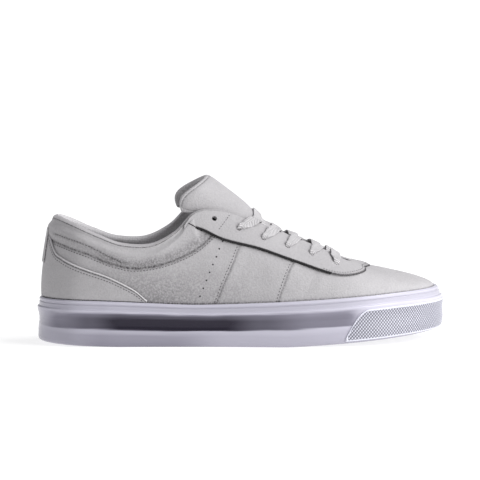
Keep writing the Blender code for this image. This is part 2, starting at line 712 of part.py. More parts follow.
def lace_start(row, side, lean=0.0):
    """Lace from over an eyelet to over the throat's edge, leaning towards the toe by a share of the
    pitch, as points with the way across the lace at each."""
    height = OVERLAY_GAP + OVERLAY_THICKNESS + CLEARANCE + LACE_LIFT
    route = []
    for share, rise_more in ((0.0, 0.0), (0.5, 0.6), (1.0, 1.0)):
        x = eyelet_x(row) + lean * share * EYELET_PITCH
        place, level = place_beside_throat(x, eyelet_inset(row) * (1.0 - share), side)
        point = skin([place], [level])[0, 0]
        normal = skin_normals([place], [level])[0, 0]
        across = skin([place + 0.002], [level])[0, 0] - skin([place - 0.002], [level])[0, 0]
        across *= side / -np.linalg.norm(across)
        route.append((point + normal * (height + rise_more * LACE_THICKNESS), across))
    return route


def tape_loops(route, samples=11):
    """Loops of a flat tape along a route of points and ways across."""
    points = np.array([point for point, _ in route])
    ways = np.array([way for _, way in route])
    knots = np.concatenate([[0.0], np.cumsum(np.linalg.norm(np.diff(points, axis=0), axis=1))])
    places = np.linspace(0.0, knots[-1], samples)
    line = bend_through(knots, points, places)
    along = np.gradient(line, axis=0)
    along /= np.linalg.norm(along, axis=1, keepdims=True)
    side = bend_through(knots, ways, places)
    side -= along * np.sum(side * along, axis=1, keepdims=True)
    side /= np.linalg.norm(side, axis=1, keepdims=True)
    up = np.cross(along, side)
    up /= np.linalg.norm(up, axis=1, keepdims=True)
    wide, thin = side * LACE_WIDTH / 2, up * LACE_THICKNESS / 2
    return np.stack([line - wide - thin, line + wide - thin, line + wide + thin, line - wide + thin], axis=1)


def over_tongue(x, y, layers):
    """A lace point over the tongue's face, above a number of lace layers, with the way across."""
    point, up, axis = tongue_at(x, y)
    return point + up * (2 * LACE_LIFT - LACE_THICKNESS / 2 + layers * LACE_THICKNESS), -axis


def make_lace_bar(material):
    """Straight bar over the toe-most pair of eyelets, above the crossing that ends there."""
    row = EYELET_ROWS - 1
    x = eyelet_x(row)
    near, far = lace_start(row, -1), lace_start(row, 1)
    crown = [over_tongue(x, y * BALL_WIDTH, layers) for y, layers in ((-0.075, 3.5), (0.0, 2.2), (0.075, 3.5))]
    return loft("lace_bar", tape_loops(near + crown + far[::-1], 12), material)


def crossing_route(row, side):
    """Lace from above one eyelet over the tongue to just inside the opposite edge, one row on."""
    edge_y = abs(lace_start(row + 1, -side)[-1][0][1])
    route = lace_start(row, side, LACE_LEAN)
    for share, across, layers in zip(*LACE_ROUTE.values()):
        route.append(over_tongue(eyelet_x(row) + share * EYELET_PITCH, side * edge_y * across, layers))
    return route


def make_lace_crossing(row, material):
    """Two crossing runs of the lace over the tongue, joined where they cross."""
    cross = loft(f"lace_cross_{row + 1}", tape_loops(crossing_route(row, -1)), material)
    other = loft(f"lace_cross_{row + 1}_other", tape_loops(crossing_route(row, 1)), None)
    cut(cross, other, "UNION")
    return cross


def build_shoe():
    rubber = finish("white_rubber", (0.80, 0.80, 0.85), 0.30)
    bumper_rubber = finish("bumper_rubber", (0.74, 0.74, 0.79), 0.45)
    suede = finish("suede", (0.62, 0.60, 0.61), 0.90)
    overlay = finish("overlay_suede", (0.58, 0.56, 0.58), 0.90)
    tongue_suede = finish("tongue_suede", (0.60, 0.58, 0.60), 0.90)
    footbed = finish("footbed_fabric", (0.28, 0.27, 0.28), 0.95)
    lace = finish("lace_tape", (0.68, 0.66, 0.68), 0.85)
    make_outsole(rubber)
    make_toe_bumper(bumper_rubber)
    make_upper(suede)
    make_eyestay(overlay)
    make_heel_counter(overlay)
    make_heel_tab(overlay)
    make_tongue(tongue_suede)
    make_insole(footbed)
    make_lace_bar(lace)
    for row in range(1, EYELET_ROWS - 1):
        make_lace_crossing(row, lace)


def stand_on_origin():
    """Hang every piece on one empty and put the middle of the shoe's box on the floor's origin."""
    pieces = list(bpy.context.scene.collection.objects)
    corners = np.array([
        vertex.co for piece in pieces if piece.name in ("outsole", "toe_bumper") for vertex in piece.data.vertices
    ])
    middle = (corners.min(axis=0) + corners.max(axis=0)) / 2
    stand = bpy.data.objects.new("shoe", None)
    bpy.context.scene.collection.objects.link(stand)
    for piece in pieces:
        piece.parent = stand
    stand.location = (-middle[0], -middle[1], 0.0)
    bpy.context.view_layer.update()


build_shoe()
stand_on_origin()
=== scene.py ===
"""Low skateboarding shoe for the right foot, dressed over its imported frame, toe at +X, outer side at -Y."""
import math

import bmesh
import bpy
import numpy as np
from mathutils import Matrix, Vector


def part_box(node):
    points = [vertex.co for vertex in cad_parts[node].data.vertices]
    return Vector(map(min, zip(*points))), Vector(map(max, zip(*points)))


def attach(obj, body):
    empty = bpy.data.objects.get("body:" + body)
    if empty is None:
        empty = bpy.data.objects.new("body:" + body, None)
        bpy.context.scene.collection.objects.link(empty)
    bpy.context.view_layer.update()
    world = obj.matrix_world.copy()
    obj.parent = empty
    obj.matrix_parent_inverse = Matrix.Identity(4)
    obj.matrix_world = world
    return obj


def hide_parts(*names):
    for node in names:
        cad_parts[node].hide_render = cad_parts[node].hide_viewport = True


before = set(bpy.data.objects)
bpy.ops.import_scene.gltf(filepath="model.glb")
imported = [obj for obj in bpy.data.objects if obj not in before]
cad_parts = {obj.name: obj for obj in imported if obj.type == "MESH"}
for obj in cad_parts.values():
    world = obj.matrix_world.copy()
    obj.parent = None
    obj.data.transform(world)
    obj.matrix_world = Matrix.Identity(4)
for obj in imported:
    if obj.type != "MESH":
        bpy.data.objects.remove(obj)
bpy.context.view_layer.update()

# Camera. The photograph shows the outer side of the shoe from three metres away, turned a little
# towards the heel and raised a little above the floor. One pixel there is 0.739 mm at the shoe.
MM = 0.001
FRAME_PIXELS = 480
PIXEL = 0.739 * MM
ORIGIN_PIXEL = (240.0, 340.2)
CAMERA_DISTANCE = 3.0
CAMERA_AZIMUTH = math.radians(5.0)
CAMERA_ELEVATION = math.radians(5.0)
SENSOR_WIDTH = 36.0
UP = np.array([0.0, 0.0, 1.0])
SOLE_LENGTH = 299.0 * MM
BALL_WIDTH = 108.0 * MM
# From this script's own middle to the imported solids' middle
SIDE_SHIFT = 0.102 * MM
SHIFT = np.array([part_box("outsole")[0].x + SOLE_LENGTH / 2, SIDE_SHIFT, 0.0])


def add_object(name, data):
    """A new object in the scene."""
    thing = bpy.data.objects.new(name, data)
    bpy.context.scene.collection.objects.link(thing)
    return thing


camera_data = bpy.data.cameras.new("camera")
camera_data.sensor_width = SENSOR_WIDTH
camera_data.lens = SENSOR_WIDTH * CAMERA_DISTANCE / (FRAME_PIXELS * PIXEL)
camera = add_object("camera", camera_data)
forward = np.array([math.sin(CAMERA_AZIMUTH) * math.cos(CAMERA_ELEVATION),
                    math.cos(CAMERA_AZIMUTH) * math.cos(CAMERA_ELEVATION), -math.sin(CAMERA_ELEVATION)])
rightward = np.array([math.cos(CAMERA_AZIMUTH), -math.sin(CAMERA_AZIMUTH), 0.0])
upward = np.cross(rightward, forward)
centre = SHIFT + upward * (ORIGIN_PIXEL[1] - FRAME_PIXELS / 2) * PIXEL
turned = np.eye(4)
turned[:3, 0], turned[:3, 1], turned[:3, 2] = rightward, upward, -forward
turned[:3, 3] = centre - forward * CAMERA_DISTANCE
camera.matrix_world = Matrix(turned.tolist())
bpy.context.scene.camera = camera


# Sole. One cup sole of white rubber, moulded in a polished tool, so its side is glossy. A dark reflection is
# painted in the waist of its side, and painted shade under its top lip. Zigzag grooves are moulded in its
# underside for grip.
BAND_HEIGHT = 34.1 * MM
TOE_SPRING = 8.2 * MM
HEEL_BEVEL = 2.0 * MM
CLEARANCE = 0.3 * MM
BAND_WALL = 2.7 * MM
HEEL_FLOOR = 14.0 * MM
FOREFOOT_FLOOR = 9.0 * MM
CUP_INSET = 1.6 * BAND_WALL
TOE_BULGE = 2.2 * MM
TOE_BULGE_START = 0.84
SOLE_COLUMNS = 640


def table(columns, rows):
    """A table of numbers as one array for each named column."""
    return dict(zip(columns, np.array(rows, dtype=float).T))


# Plan of the sole at its widest line, x in shares of its length and widths in shares of the ball width
PLAN = table(
    ("x", "out", "in"),
    [
        (0.000, 0.000, 0.000), (0.020, 0.185, 0.185), (0.070, 0.310, 0.310), (0.150, 0.358, 0.360),
        (0.233, 0.372, 0.363), (0.307, 0.386, 0.350), (0.373, 0.402, 0.340), (0.433, 0.422, 0.342),
        (0.507, 0.452, 0.360), (0.587, 0.483, 0.405), (0.673, 0.503, 0.465), (0.760, 0.495, 0.498),
        (0.847, 0.430, 0.480), (0.927, 0.290, 0.405), (0.978, 0.120, 0.268), (1.000, -0.080, 0.080),
    ],
)

# Side of the sole from its bottom edge to its top edge, height in shares of the band's height, inset in
# shares of the band wall and toe in shares of the toe's bulge
BAND_PROFILE = table(
    ("height", "inset", "toe"),
    [
        (0.000, 1.05, 0.00), (0.030, 0.45, 0.20), (0.090, 0.22, 0.45), (0.260, 0.24, 0.80),
        (0.460, 0.52, 1.00), (0.560, 0.50, 1.00), (0.720, 0.10, 0.90), (0.770, 0.00, 0.80),
        (0.795, 0.10, 0.75), (0.810, 0.48, 0.70), (0.895, 0.56, 0.40), (0.910, 0.74, 0.35),
        (0.928, 0.56, 0.30), (0.975, 0.60, 0.10), (1.000, 0.95, 0.00),
    ],
)
BAND_TOP = table(
    ("x", "height"),
    [
        (0.00, 1.000), (0.06, 0.997), (0.16, 0.978), (0.28, 0.933), (0.36, 0.905), (0.50, 0.933),
        (0.60, 0.973), (0.70, 1.024), (0.80, 1.078), (0.90, 1.128), (1.00, 1.155),
    ],
)


def bend_through(knots, values, places, closed=False):
    """Smooth values at places along knots, through the given values, with a tangent at each knot."""
    knots = np.asarray(knots, dtype=float)
    values = np.asarray(values, dtype=float)
    column = (-1,) + (1,) * (values.ndim - 1)
    steps = np.diff(knots)
    slopes = np.diff(values, axis=0) / steps.reshape(column)
    places = np.asarray(places, dtype=float)
    first, last = (-1, 0) if closed else (0, -1)
    before = np.concatenate([slopes[first:][:1], slopes])
    after = np.concatenate([slopes, slopes[last:][:1]])
    lead = np.concatenate([steps[first:][:1], steps])
    trail = np.concatenate([steps, steps[last:][:1]])
    if closed:
        places = knots[0] + np.mod(places - knots[0], knots[-1] - knots[0])
    weight = (trail / (lead + trail)).reshape(column)
    tangents = before * weight + after * (1 - weight)
    index = np.clip(np.searchsorted(knots, places, side="right") - 1, 0, len(knots) - 2)
    step = (knots[index + 1] - knots[index]).reshape(places.shape + (1,) * (values.ndim - 1))
    share = np.clip((places - knots[index]).reshape(step.shape) / step, 0.0, 1.0)
    square, cube = share**2, share**3
    return ((2 * cube - 3 * square + 1) * values[index] + (cube - 2 * square + share) * step * tangents[index]
            + (3 * square - 2 * cube) * values[index + 1] + (cube - square) * step * tangents[index + 1])


def ring_knots():
    """Places of the sections round the ring, 0 at the heel, 0.5 at the toe, the outer side first."""
    x = PLAN["x"] * SOLE_LENGTH
    lengths = [np.hypot(np.diff(x), np.diff(PLAN[side] * BALL_WIDTH)) for side in ("out", "in")]
    half = np.concatenate([[0.0], np.cumsum(sum(lengths))])
    half = 0.5 * half / half[-1]
    return np.concatenate([half, 1.0 - half[-2::-1]])


KNOTS = ring_knots()


def ring_value(outer, inner, places):
    return bend_through(KNOTS, np.concatenate([outer, inner[-2::-1]]), places, closed=True)


def unit(ways):
    """Vectors brought to a length of one."""
    return ways / np.linalg.norm(ways, axis=-1, keepdims=True)


def run_along(points):
    """How far each point of a line is from its first, along the line."""
    return np.concatenate([[0.0], np.cumsum(np.linalg.norm(np.diff(points, axis=0), axis=1))])


def x_at(share):
    """x at a share of the sole's length, 0 at the heel and 1 at the toe."""
    return share * SOLE_LENGTH - SOLE_LENGTH / 2


def outline(places):
    """Plan of the sole's widest line and its outward direction, at places round the ring."""
    def at(where):
        return np.stack([x_at(ring_value(PLAN["x"], PLAN["x"], where)),
                         ring_value(-PLAN["out"], PLAN["in"], where) * BALL_WIDTH], axis=-1)

    places = np.asarray(places, dtype=float)
    step = 1e-4
    along = unit(at(places + step) - at(places - step))
    return at(places), np.stack([along[..., 1], -along[..., 0]], axis=-1)


def length_share(x):
    """Places along the sole, 0 at the heel and 1 at the toe."""
    return np.clip(np.asarray(x) / SOLE_LENGTH + 0.5, 0.0, 1.0)


def soft_step(value):
    value = np.clip(value, 0.0, 1.0)
    return value * value * (3 - 2 * value)


def sole_bottom(x):
    """Height of the underside, flat from heel to ball, rising to the toe and a little at the back."""
    toe_start, heel_start = 0.60, 0.20
    share = length_share(x)
    toe = np.clip((share - toe_start) / (1.0 - toe_start), 0.0, 1.0) ** 1.15
    heel = np.clip((heel_start - share) / heel_start, 0.0, 1.0) ** 1.4
    return TOE_SPRING * toe + HEEL_BEVEL * heel


def sole_top(x):
    return bend_through(BAND_TOP["x"], BAND_TOP["height"], length_share(x)) * BAND_HEIGHT


def cup_floor(x):
    drop = soft_step((length_share(x) - 0.25) / 0.40)
    return sole_bottom(x) + HEEL_FLOOR + (FOREFOOT_FLOOR - HEEL_FLOOR) * drop


def ring_points(places, inset, height):
    """A ring in from the widest line, at one height or a height for each place."""
    plan, outward = outline(places)
    return np.concatenate([plan - outward * np.reshape(inset, (-1, 1)),
                           np.broadcast_to(np.reshape(height, (-1, 1)), (len(plan), 1))], axis=1)


def grid_faces(rows, columns, closed=False, start=0):
    """Quads of a grid of points, rows by columns, closed round its columns or open."""
    r, c = np.meshgrid(np.arange(rows - 1), np.arange(columns if closed else columns - 1), indexing="ij")
    there = (c + 1) % columns
    quads = np.stack([r * columns + c, r * columns + there, (r + 1) * columns + there, (r + 1) * columns + c])
    return (quads.reshape(4, -1).T + start).tolist()


def tube_faces(rows, columns, start=0):
    """Quads of a closed tube of rows by columns, and the two faces that close its ends."""
    last = start + (rows - 1) * columns
    ends = [tuple(range(start, start + columns)), tuple(range(last, last + columns))]
    return grid_faces(rows, columns, closed=True, start=start) + ends


def linear(code):
    """A colour of the screen, as #rrggbb, in linear light."""
    parts = [int(code[i:i + 2], 16) / 255 for i in (1, 3, 5)]
    return tuple(p / 12.92 if p <= 0.04045 else ((p + 0.055) / 1.055) ** 2.4 for p in parts) + (1.0,)


def add_node(tree, kind, values=None, links=None, **settings):
    """A node with its settings, its sockets' values and its incoming links."""
    node = tree.nodes.new(kind)
    for name, value in settings.items():
        setattr(node, name, value)
    for socket, value in (values or {}).items():
        node.inputs[socket].default_value = value
    for socket, source in (links or {}).items():
        tree.links.new(source, node.inputs[socket])
    return node


def maths(tree, operation, *terms, clamp=False):
    """The result of one sum of numbers and sockets."""
    node = add_node(tree, "ShaderNodeMath", operation=operation, use_clamp=clamp)
    for place, term in enumerate(terms):
        if isinstance(term, (int, float)):
            node.inputs[place].default_value = term
        else:
            tree.links.new(term, node.inputs[place])
    return node.outputs[0]


def mark(tree, name):
    """A mark that the mesh carries at its points, nothing where it has none."""
    return add_node(tree, "ShaderNodeAttribute", attribute_name=name).outputs["Fac"]


def own_places(tree):
    """Places on the piece itself, in metres."""
    return add_node(tree, "ShaderNodeTexCoord").outputs["Object"]


def noise(tree, where, **values):
    """Soft noise at places, from 0 to 1."""
    return add_node(tree, "ShaderNodeTexNoise", values, {"Vector": where}).outputs["Fac"]


def blended(tree, amount, first, second, **settings):
    """Two colours blended by an amount, each of the three a value or a socket."""
    node = add_node(tree, "ShaderNodeMix", data_type="RGBA", **settings)
    for name, term in (("Factor", amount), ("A", first), ("B", second)):
        if isinstance(term, (float, tuple)):
            node.inputs[name].default_value = term
        else:
            tree.links.new(term, node.inputs[name])
    return node.outputs["Result"]


def finish(tree, shader, tone, height=None, strength=0.0, distance=0.0, invert=False):
    """Give a shader its colour, and its fine relief from a height."""
    tree.links.new(tone, shader.inputs["Base Color"])
    if height is not None:
        sizes = {"Strength": strength, "Distance": distance}
        bump = add_node(tree, "ShaderNodeBump", sizes, {"Height": height}, invert=invert)
        tree.links.new(bump.outputs["Normal"], shader.inputs["Normal"])


def new_material(name, **sockets):
    """A material with its surface shader, and the values of that shader's own sockets."""
    material = bpy.data.materials.new(name)
    material.use_nodes = True
    shader = material.node_tree.nodes["Principled BSDF"]
    for socket, value in sockets.items():
        shader.inputs[socket.replace("_", " ")].default_value = value
    return material, material.node_tree, shader


def new_piece(name, points, faces, materials, marks=None, uv=None, face_materials=None, smooth_angle=40):
    """One mesh piece with faces outwards, its own attributes and its UV map."""
    mesh = bpy.data.meshes.new(name)
    points = np.asarray(points) + SHIFT
    mesh.from_pydata(points.tolist(), [], faces)
    for material in materials:
        mesh.materials.append(material)
    if face_materials is not None:
        mesh.polygons.foreach_set("material_index", np.asarray(face_materials, dtype=np.int32))
    for label, values in (marks or {}).items():
        layer = mesh.attributes.new(label, "FLOAT", "POINT")
        layer.data.foreach_set("value", np.asarray(values, dtype=np.float32))
    if uv is not None:
        corners = np.empty(len(mesh.loops), dtype=np.int32)
        mesh.loops.foreach_get("vertex_index", corners)
        flat = np.asarray(uv, dtype=np.float32)[corners].ravel()
        mesh.uv_layers.new(name="UVMap").data.foreach_set("uv", flat)
    work = bmesh.new()
    work.from_mesh(mesh)
    bmesh.ops.recalc_face_normals(work, faces=work.faces)
    work.to_mesh(mesh)
    work.free()
    mesh.shade_smooth()
    mesh.set_sharp_from_angle(angle=math.radians(smooth_angle))
    return add_object(name, mesh)


def place_piece(piece, slot, *nodes):
    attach(piece, "root")
    if nodes:
        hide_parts(*nodes)
    return piece


def profile_heights():
    """Heights up the sole's side, close together at its steps."""
    return np.unique(np.concatenate([np.linspace(0.0, 0.78, 22), np.linspace(0.78, 1.0, 26),
                                     np.linspace(0.0, 0.09, 9), BAND_PROFILE["height"]]))


def band_inset(heights, x):
    """How far the sole's side stands in from its widest line, at x and heights of one shape."""
    toe = soft_step((length_share(x) - TOE_BULGE_START) / (1.0 - TOE_BULGE_START))
    inset = np.interp(heights, BAND_PROFILE["height"], BAND_PROFILE["inset"])
    bulge = np.interp(heights, BAND_PROFILE["height"], BAND_PROFILE["toe"])
    return inset * BAND_WALL - bulge * toe * TOE_BULGE


TREAD = {"pitch": 12.0 * MM, "wave": 2.6 * MM, "width": 2.6 * MM, "depth": 1.8 * MM, "margin": 10.0 * MM}
TREAD_ZONES = ((-0.457, -0.16), (0.0, 0.446))


def tread_depth(x, y, edge):
    """How deep the zigzag grooves are at a point of the underside, edge metres in from its outline."""
    wave = TREAD["wave"] * (2 * np.abs(np.mod(y / (TREAD["pitch"] * 2.6), 1.0) - 0.5) * 2 - 1)
    depth = np.zeros_like(x)
    for start, end in TREAD_ZONES:
        rows = np.arange(start * SOLE_LENGTH, end * SOLE_LENGTH, TREAD["pitch"])
        gap = np.min(np.abs((x - wave)[..., None] - rows), axis=-1)
        depth = np.maximum(depth, 1 - soft_step((gap - TREAD["width"] * 0.32) / (TREAD["width"] * 0.36)))
    return TREAD["depth"] * depth * soft_step((edge - TREAD["margin"] * 0.8) / (TREAD["margin"] * 0.3))


def underside(ring):
    """Points across the underside, row by row between the two halves of its boundary ring."""
    half = len(ring) // 2
    outer, inner = ring[1:half], ring[:half:-1]
    across = (1 - np.cos(np.linspace(0, math.pi, 49))) / 2
    grid = outer[:, None] * (1 - across[None, :, None]) + inner[:, None] * across[None, :, None]
    span = np.linalg.norm(inner - outer, axis=1)[:, None]
    edge = np.minimum(across, 1 - across)[None] * span
    edge = np.minimum(edge, np.abs(np.abs(grid[..., 0]) - SOLE_LENGTH / 2))
    grid[:, 1:-1, 2] += tread_depth(grid[..., 0], grid[..., 1], edge)[:, 1:-1]
    return grid


def make_sole():
    places = np.arange(SOLE_COLUMNS) / SOLE_COLUMNS
    x = outline(places)[0][:, 0]
    bottom, top = sole_bottom(x), sole_top(x)
    heights = profile_heights()
    insets = np.array([band_inset(height, x) for height in heights])
    below, above = np.vstack([insets[:1], insets[:-1]]), np.vstack([insets[1:], insets[-1:]])
    insets = 0.22 * below + 0.56 * insets + 0.22 * above
    rings = [ring_points(places, inset, bottom + (top - bottom) * height)
             for height, inset in zip(heights, insets)]
    rings.append(ring_points(places, CUP_INSET * 0.62, top + 0.1 * MM))
    rings.append(ring_points(places, CUP_INSET, top - 0.2 * MM))
    rings += [ring_points(places, CUP_INSET, cup_floor(x) + (top - cup_floor(x)) * share)
              for share in (0.6, 0.2, 0.0)]
    rings += [ring_points(places, CUP_INSET + 6 * MM * step, cup_floor(x)) for step in (0.5, 1.0)]
    wall = np.concatenate(rings)
    heights = np.concatenate([heights, np.ones(2), np.full(5, 1.2)])
    faces = grid_faces(len(rings), SOLE_COLUMNS, closed=True)
    faces.append(tuple(range((len(rings) - 1) * SOLE_COLUMNS, len(rings) * SOLE_COLUMNS)))
    under = underside(rings[0])
    start = len(wall)
    half = SOLE_COLUMNS // 2
    rows, across = under.shape[:2]
    faces += grid_faces(rows, across, start=start)
    faces.append((0, start, *range(start + 1, start + across)))
    faces.append((half, *range(start + (rows - 1) * across, start + rows * across)))
    points = np.concatenate([wall, under.reshape(-1, 3)])
    height = np.concatenate([np.repeat(heights, SOLE_COLUMNS), np.full(rows * across, -0.2)])
    share = length_share(points[:, 0])
    piece = new_piece("cup_sole", points, faces, [sole_rubber()], smooth_angle=50,
                      marks={"height": height, "along": share})
    merge_doubles(piece)
    return place_piece(piece, "white_rubber", "outsole")


def merge_doubles(piece, distance=0.02 * MM):
    work = bmesh.new()
    work.from_mesh(piece.data)
    bmesh.ops.remove_doubles(work, verts=work.verts, dist=distance)
    bmesh.ops.recalc_face_normals(work, faces=work.faces)
    work.to_mesh(piece.data)
    work.free()


def ramp(tree, source, stops, interpolation="EASE"):
    """The colour that a ramp gives at a source, from its stops, each a place and a colour or a share."""
    node = add_node(tree, "ShaderNodeValToRGB", links={"Fac": source})
    node.color_ramp.interpolation = interpolation
    elements = node.color_ramp.elements
    while len(elements) < len(stops):
        elements.new(0.5)
    for element, (place, colour) in zip(elements, stops):
        element.position = place
        element.color = linear(colour) if isinstance(colour, str) else (colour, colour, colour, 1.0)
    return node.outputs["Color"]


def sole_rubber():
    """White moulded rubber with a polished face. A dark reflection is painted along its waist, darkest behind
    the middle and thinning out to the toe and the heel, and painted shade on the strip under its top lip. A
    faint unevenness breaks up its highlights."""
    material, tree, shader = new_material("moulded_white_rubber", Roughness=0.26, IOR=1.45, Coat_Weight=0.06,
                                          Coat_Roughness=0.10, Specular_Tint=(0.86, 0.82, 1.0, 1.0))
    height, along, where = mark(tree, "height"), mark(tree, "along"), own_places(tree)
    # Painted reflection: a dark stripe in the waist of the side, its edges wandering along drawn-out streaks,
    # darkest behind the middle and thinning to the toe and the heel, with a fainter one low down on the side
    drawn_out = add_node(tree, "ShaderNodeMapping", {"Scale": (22.0, 60.0, 300.0)}, {"Vector": where})
    streaks = noise(tree, drawn_out.outputs["Vector"], Scale=1.0, Detail=2.0)
    wander = maths(tree, "MULTIPLY_ADD", streaks, 0.10, -0.05)
    moved = maths(tree, "ADD", height, wander)
    reflection_band = ramp(tree, moved, ((0.36, 0.0), (0.41, 0.95), (0.58, 1.0), (0.70, 0.75), (0.79, 0.0)))
    reach = ramp(tree, along, ((0.0, 0.12), (0.05, 0.38), (0.12, 0.72), (0.20, 1.0), (0.44, 1.0),
                               (0.54, 0.72), (0.66, 0.42), (0.74, 0.44), (0.80, 0.0)))
    low_reflection_band = ramp(tree, moved, ((0.0, 0.30), (0.22, 0.26), (0.36, 0.10), (0.42, 0.0)))
    low_reflection_reach = ramp(tree, along, ((0.02, 0.45), (0.16, 1.0), (0.32, 1.0), (0.46, 0.45), (0.7, 0.50)))
    painted_reflection = maths(tree, "MULTIPLY_ADD", reflection_band, reach, maths(tree, "MULTIPLY", low_reflection_band, low_reflection_reach))
    tone = ramp(tree, painted_reflection, ((0.0, "#BEBCC8"), (0.35, "#7A7884"), (0.95, "#0E0818")), "LINEAR")
    # Painted shade on the strip between the side's lip and its top rim, so lip and rim stand out as bright
    # lines
    shaded = ramp(tree, height, ((0.80, 1.0), (0.84, 0.84), (0.93, 0.82), (0.965, 1.0)))
    both = blended(tree, 1.0, tone, shaded, blend_type="MULTIPLY")
    finish(tree, shader, both, noise(tree, where, Scale=90.0, Detail=3.0), 0.08, 0.4 * MM)
    return material


make_sole()


# Toe bumper. A second rubber strip round the toe, cemented on the sole's side, with a smooth rim and
# a fine hatch of crossing ribs that a skateboard's grip tape wears down.
BUMPER_THICKNESS = 1.2 * MM
HATCH_PITCH = 2.4 * MM
HATCH_DEPTH = 0.45 * MM
BUMPER_START, BUMPER_FULL = 0.742, 0.802
BUMPER_LOW, BUMPER_FIRST, BUMPER_HIGH = 0.05, 0.12, 0.72


def make_bumper():
    dense = np.linspace(0.3, 0.7, 4000)
    inside = dense[length_share(outline(dense)[0][:, 0]) >= BUMPER_START]
    plan, outward = outline(np.linspace(inside[0], inside[-1], 620))
    bottom, top = sole_bottom(plan[:, 0]), sole_top(plan[:, 0])
    grow = np.clip((length_share(plan[:, 0]) - BUMPER_START) / (BUMPER_FULL - BUMPER_START), 0.0, 1.0)
    upper_share = BUMPER_FIRST + (BUMPER_HIGH - BUMPER_FIRST) * np.sin(grow * math.pi / 2)
    run = run_along(plan)
    levels = np.linspace(0.0, 1.0, 52)
    heights = BUMPER_LOW + (upper_share - BUMPER_LOW)[:, None] * levels
    inset = band_inset(heights, plan[:, :1])
    tall = (top - bottom)[:, None]
    z = bottom[:, None] + tall * heights
    rim = np.minimum((upper_share[:, None] - heights) * tall, np.minimum(run, run[-1] - run)[:, None] * 0.8)
    rim = np.minimum(rim, (heights - BUMPER_LOW) * tall + 0.4 * MM)
    inward = soft_step((rim - 1.0 * MM) / (0.5 * MM))
    ribs = np.abs(np.sin((run[:, None] + z * 0.9) * math.pi / HATCH_PITCH))
    ribs *= np.abs(np.sin((run[:, None] - z * 0.9) * math.pi / HATCH_PITCH))
    lift = BUMPER_THICKNESS * soft_step(rim / (0.9 * MM) + 0.35) - HATCH_DEPTH * inward * (1 - ribs)
    face, back = (np.concatenate([plan[:, None] - outward[:, None] * sunk[..., None], z[..., None]], axis=2)
                  for sunk in (inset - CLEARANCE * 0.4 - lift, inset + 0.2 * MM))
    loops = np.concatenate([face, back[:, ::-1]], axis=1)
    # Painted shade in the grooves between the ribs, none on the rib tops or on the smooth rim
    painted_hatch_shade = np.concatenate([inward * (1 - ribs), np.zeros_like(ribs)], axis=1)
    piece = new_piece("toe_bumper_strip", loops.reshape(-1, 3), tube_faces(*loops.shape[:2]),
                      [bumper_rubber()], marks={"painted_hatch_shade": painted_hatch_shade.ravel()})
    return place_piece(piece, "bumper_rubber", "toe_bumper")


def bumper_rubber():
    """The sole's rubber left matt by its hatched mould, with painted shade down in the grooves between its
    ribs.
    """
    material, tree, shader = new_material("hatched_rubber", Roughness=0.42, IOR=1.5)
    tone = ramp(tree, mark(tree, "painted_hatch_shade"), ((0.0, "#D6D6E2"), (1.0, "#383844")), "LINEAR")
    finish(tree, shader, tone, noise(tree, own_places(tree), Scale=1500.0, Detail=2.0), 0.15, 0.1 * MM)
    return material


make_bumper()


# Upper. Pale grey suede, cut in panels, sewn with sunk seams and pulled over a last. Its collar is
# padded with foam between the suede and a fabric lining, and has a thin raised binding at its edge.
HEEL_HEIGHT = 90.5 * MM
INSTEP_HEIGHT = 98.0 * MM
UPPER_INSET = CUP_INSET + CLEARANCE
UPPER_WALL = 2.0 * MM
COLLAR_PAD = 8.0 * MM
COLLAR_PAD_DEPTH = 42.0 * MM
UPPER_COLUMNS = 560
# The binding wraps the collar's rounded rim, from a turn in degrees on its outer face to its inner face
BINDING_TURNS = np.arange(6.0, 176.0, 6.0)
BINDING_FROM, BINDING_TO = 24.0, 84.0
BINDING_LIFT = 0.45 * MM
RIM_FLATNESS = 0.9

# Free edge of the upper and the bend of each section between sole and edge, one row for each row of PLAN
EDGE = table(
    ("x", "out", "in", "heel", "instep", "rise", "swell", "crown", "fall", "pad", "stay"),
    [
        (0.037, 0.000, 0.000, 1.000, 0.000, 0.30, 0.020, 0.05, 0.30, 1.00, 0.00),
        (0.049, 0.145, 0.145, 0.995, 0.000, 0.30, 0.020, 0.05, 0.30, 1.00, 0.00),
        (0.088, 0.262, 0.262, 0.945, 0.000, 0.31, 0.030, 0.04, 0.31, 1.00, 0.00),
        (0.144, 0.322, 0.322, 0.866, 0.000, 0.33, 0.050, 0.04, 0.33, 1.00, 0.00),
        (0.206, 0.350, 0.345, 0.797, 0.000, 0.33, 0.060, 0.03, 0.33, 1.00, 0.00),
        (0.278, 0.350, 0.340, 0.800, 0.000, 0.33, 0.050, 0.03, 0.33, 0.95, 0.00),
        (0.336, 0.318, 0.312, 0.913, 0.000, 0.33, 0.040, 0.06, 0.33, 0.55, 0.10),
        (0.377, 0.264, 0.264, 0.000, 0.982, 0.32, 0.000, 0.13, 0.32, 0.10, 0.58),
        (0.438, 0.228, 0.228, 0.000, 1.003, 0.30, -0.040, 0.17, 0.30, 0.00, 1.30),
        (0.517, 0.198, 0.202, 0.000, 0.928, 0.30, -0.060, 0.22, 0.24, 0.00, 1.42),
        (0.598, 0.170, 0.180, 0.000, 0.818, 0.30, -0.060, 0.27, 0.20, 0.00, 1.68),
        (0.667, 0.146, 0.164, 0.000, 0.732, 0.27, -0.060, 0.30, 0.14, 0.00, 2.17),
        (0.717, 0.118, 0.150, 0.000, 0.660, 0.21, -0.050, 0.33, 0.10, 0.00, 1.84),
        (0.748, 0.076, 0.116, 0.000, 0.603, 0.14, -0.030, 0.35, 0.07, 0.00, 1.08),
        (0.765, 0.030, 0.076, 0.000, 0.586, 0.11, -0.020, 0.37, 0.06, 0.00, 0.86),
        (0.773, -0.025, 0.025, 0.000, 0.578, 0.10, -0.020, 0.37, 0.055, 0.00, 0.80),
    ],
)

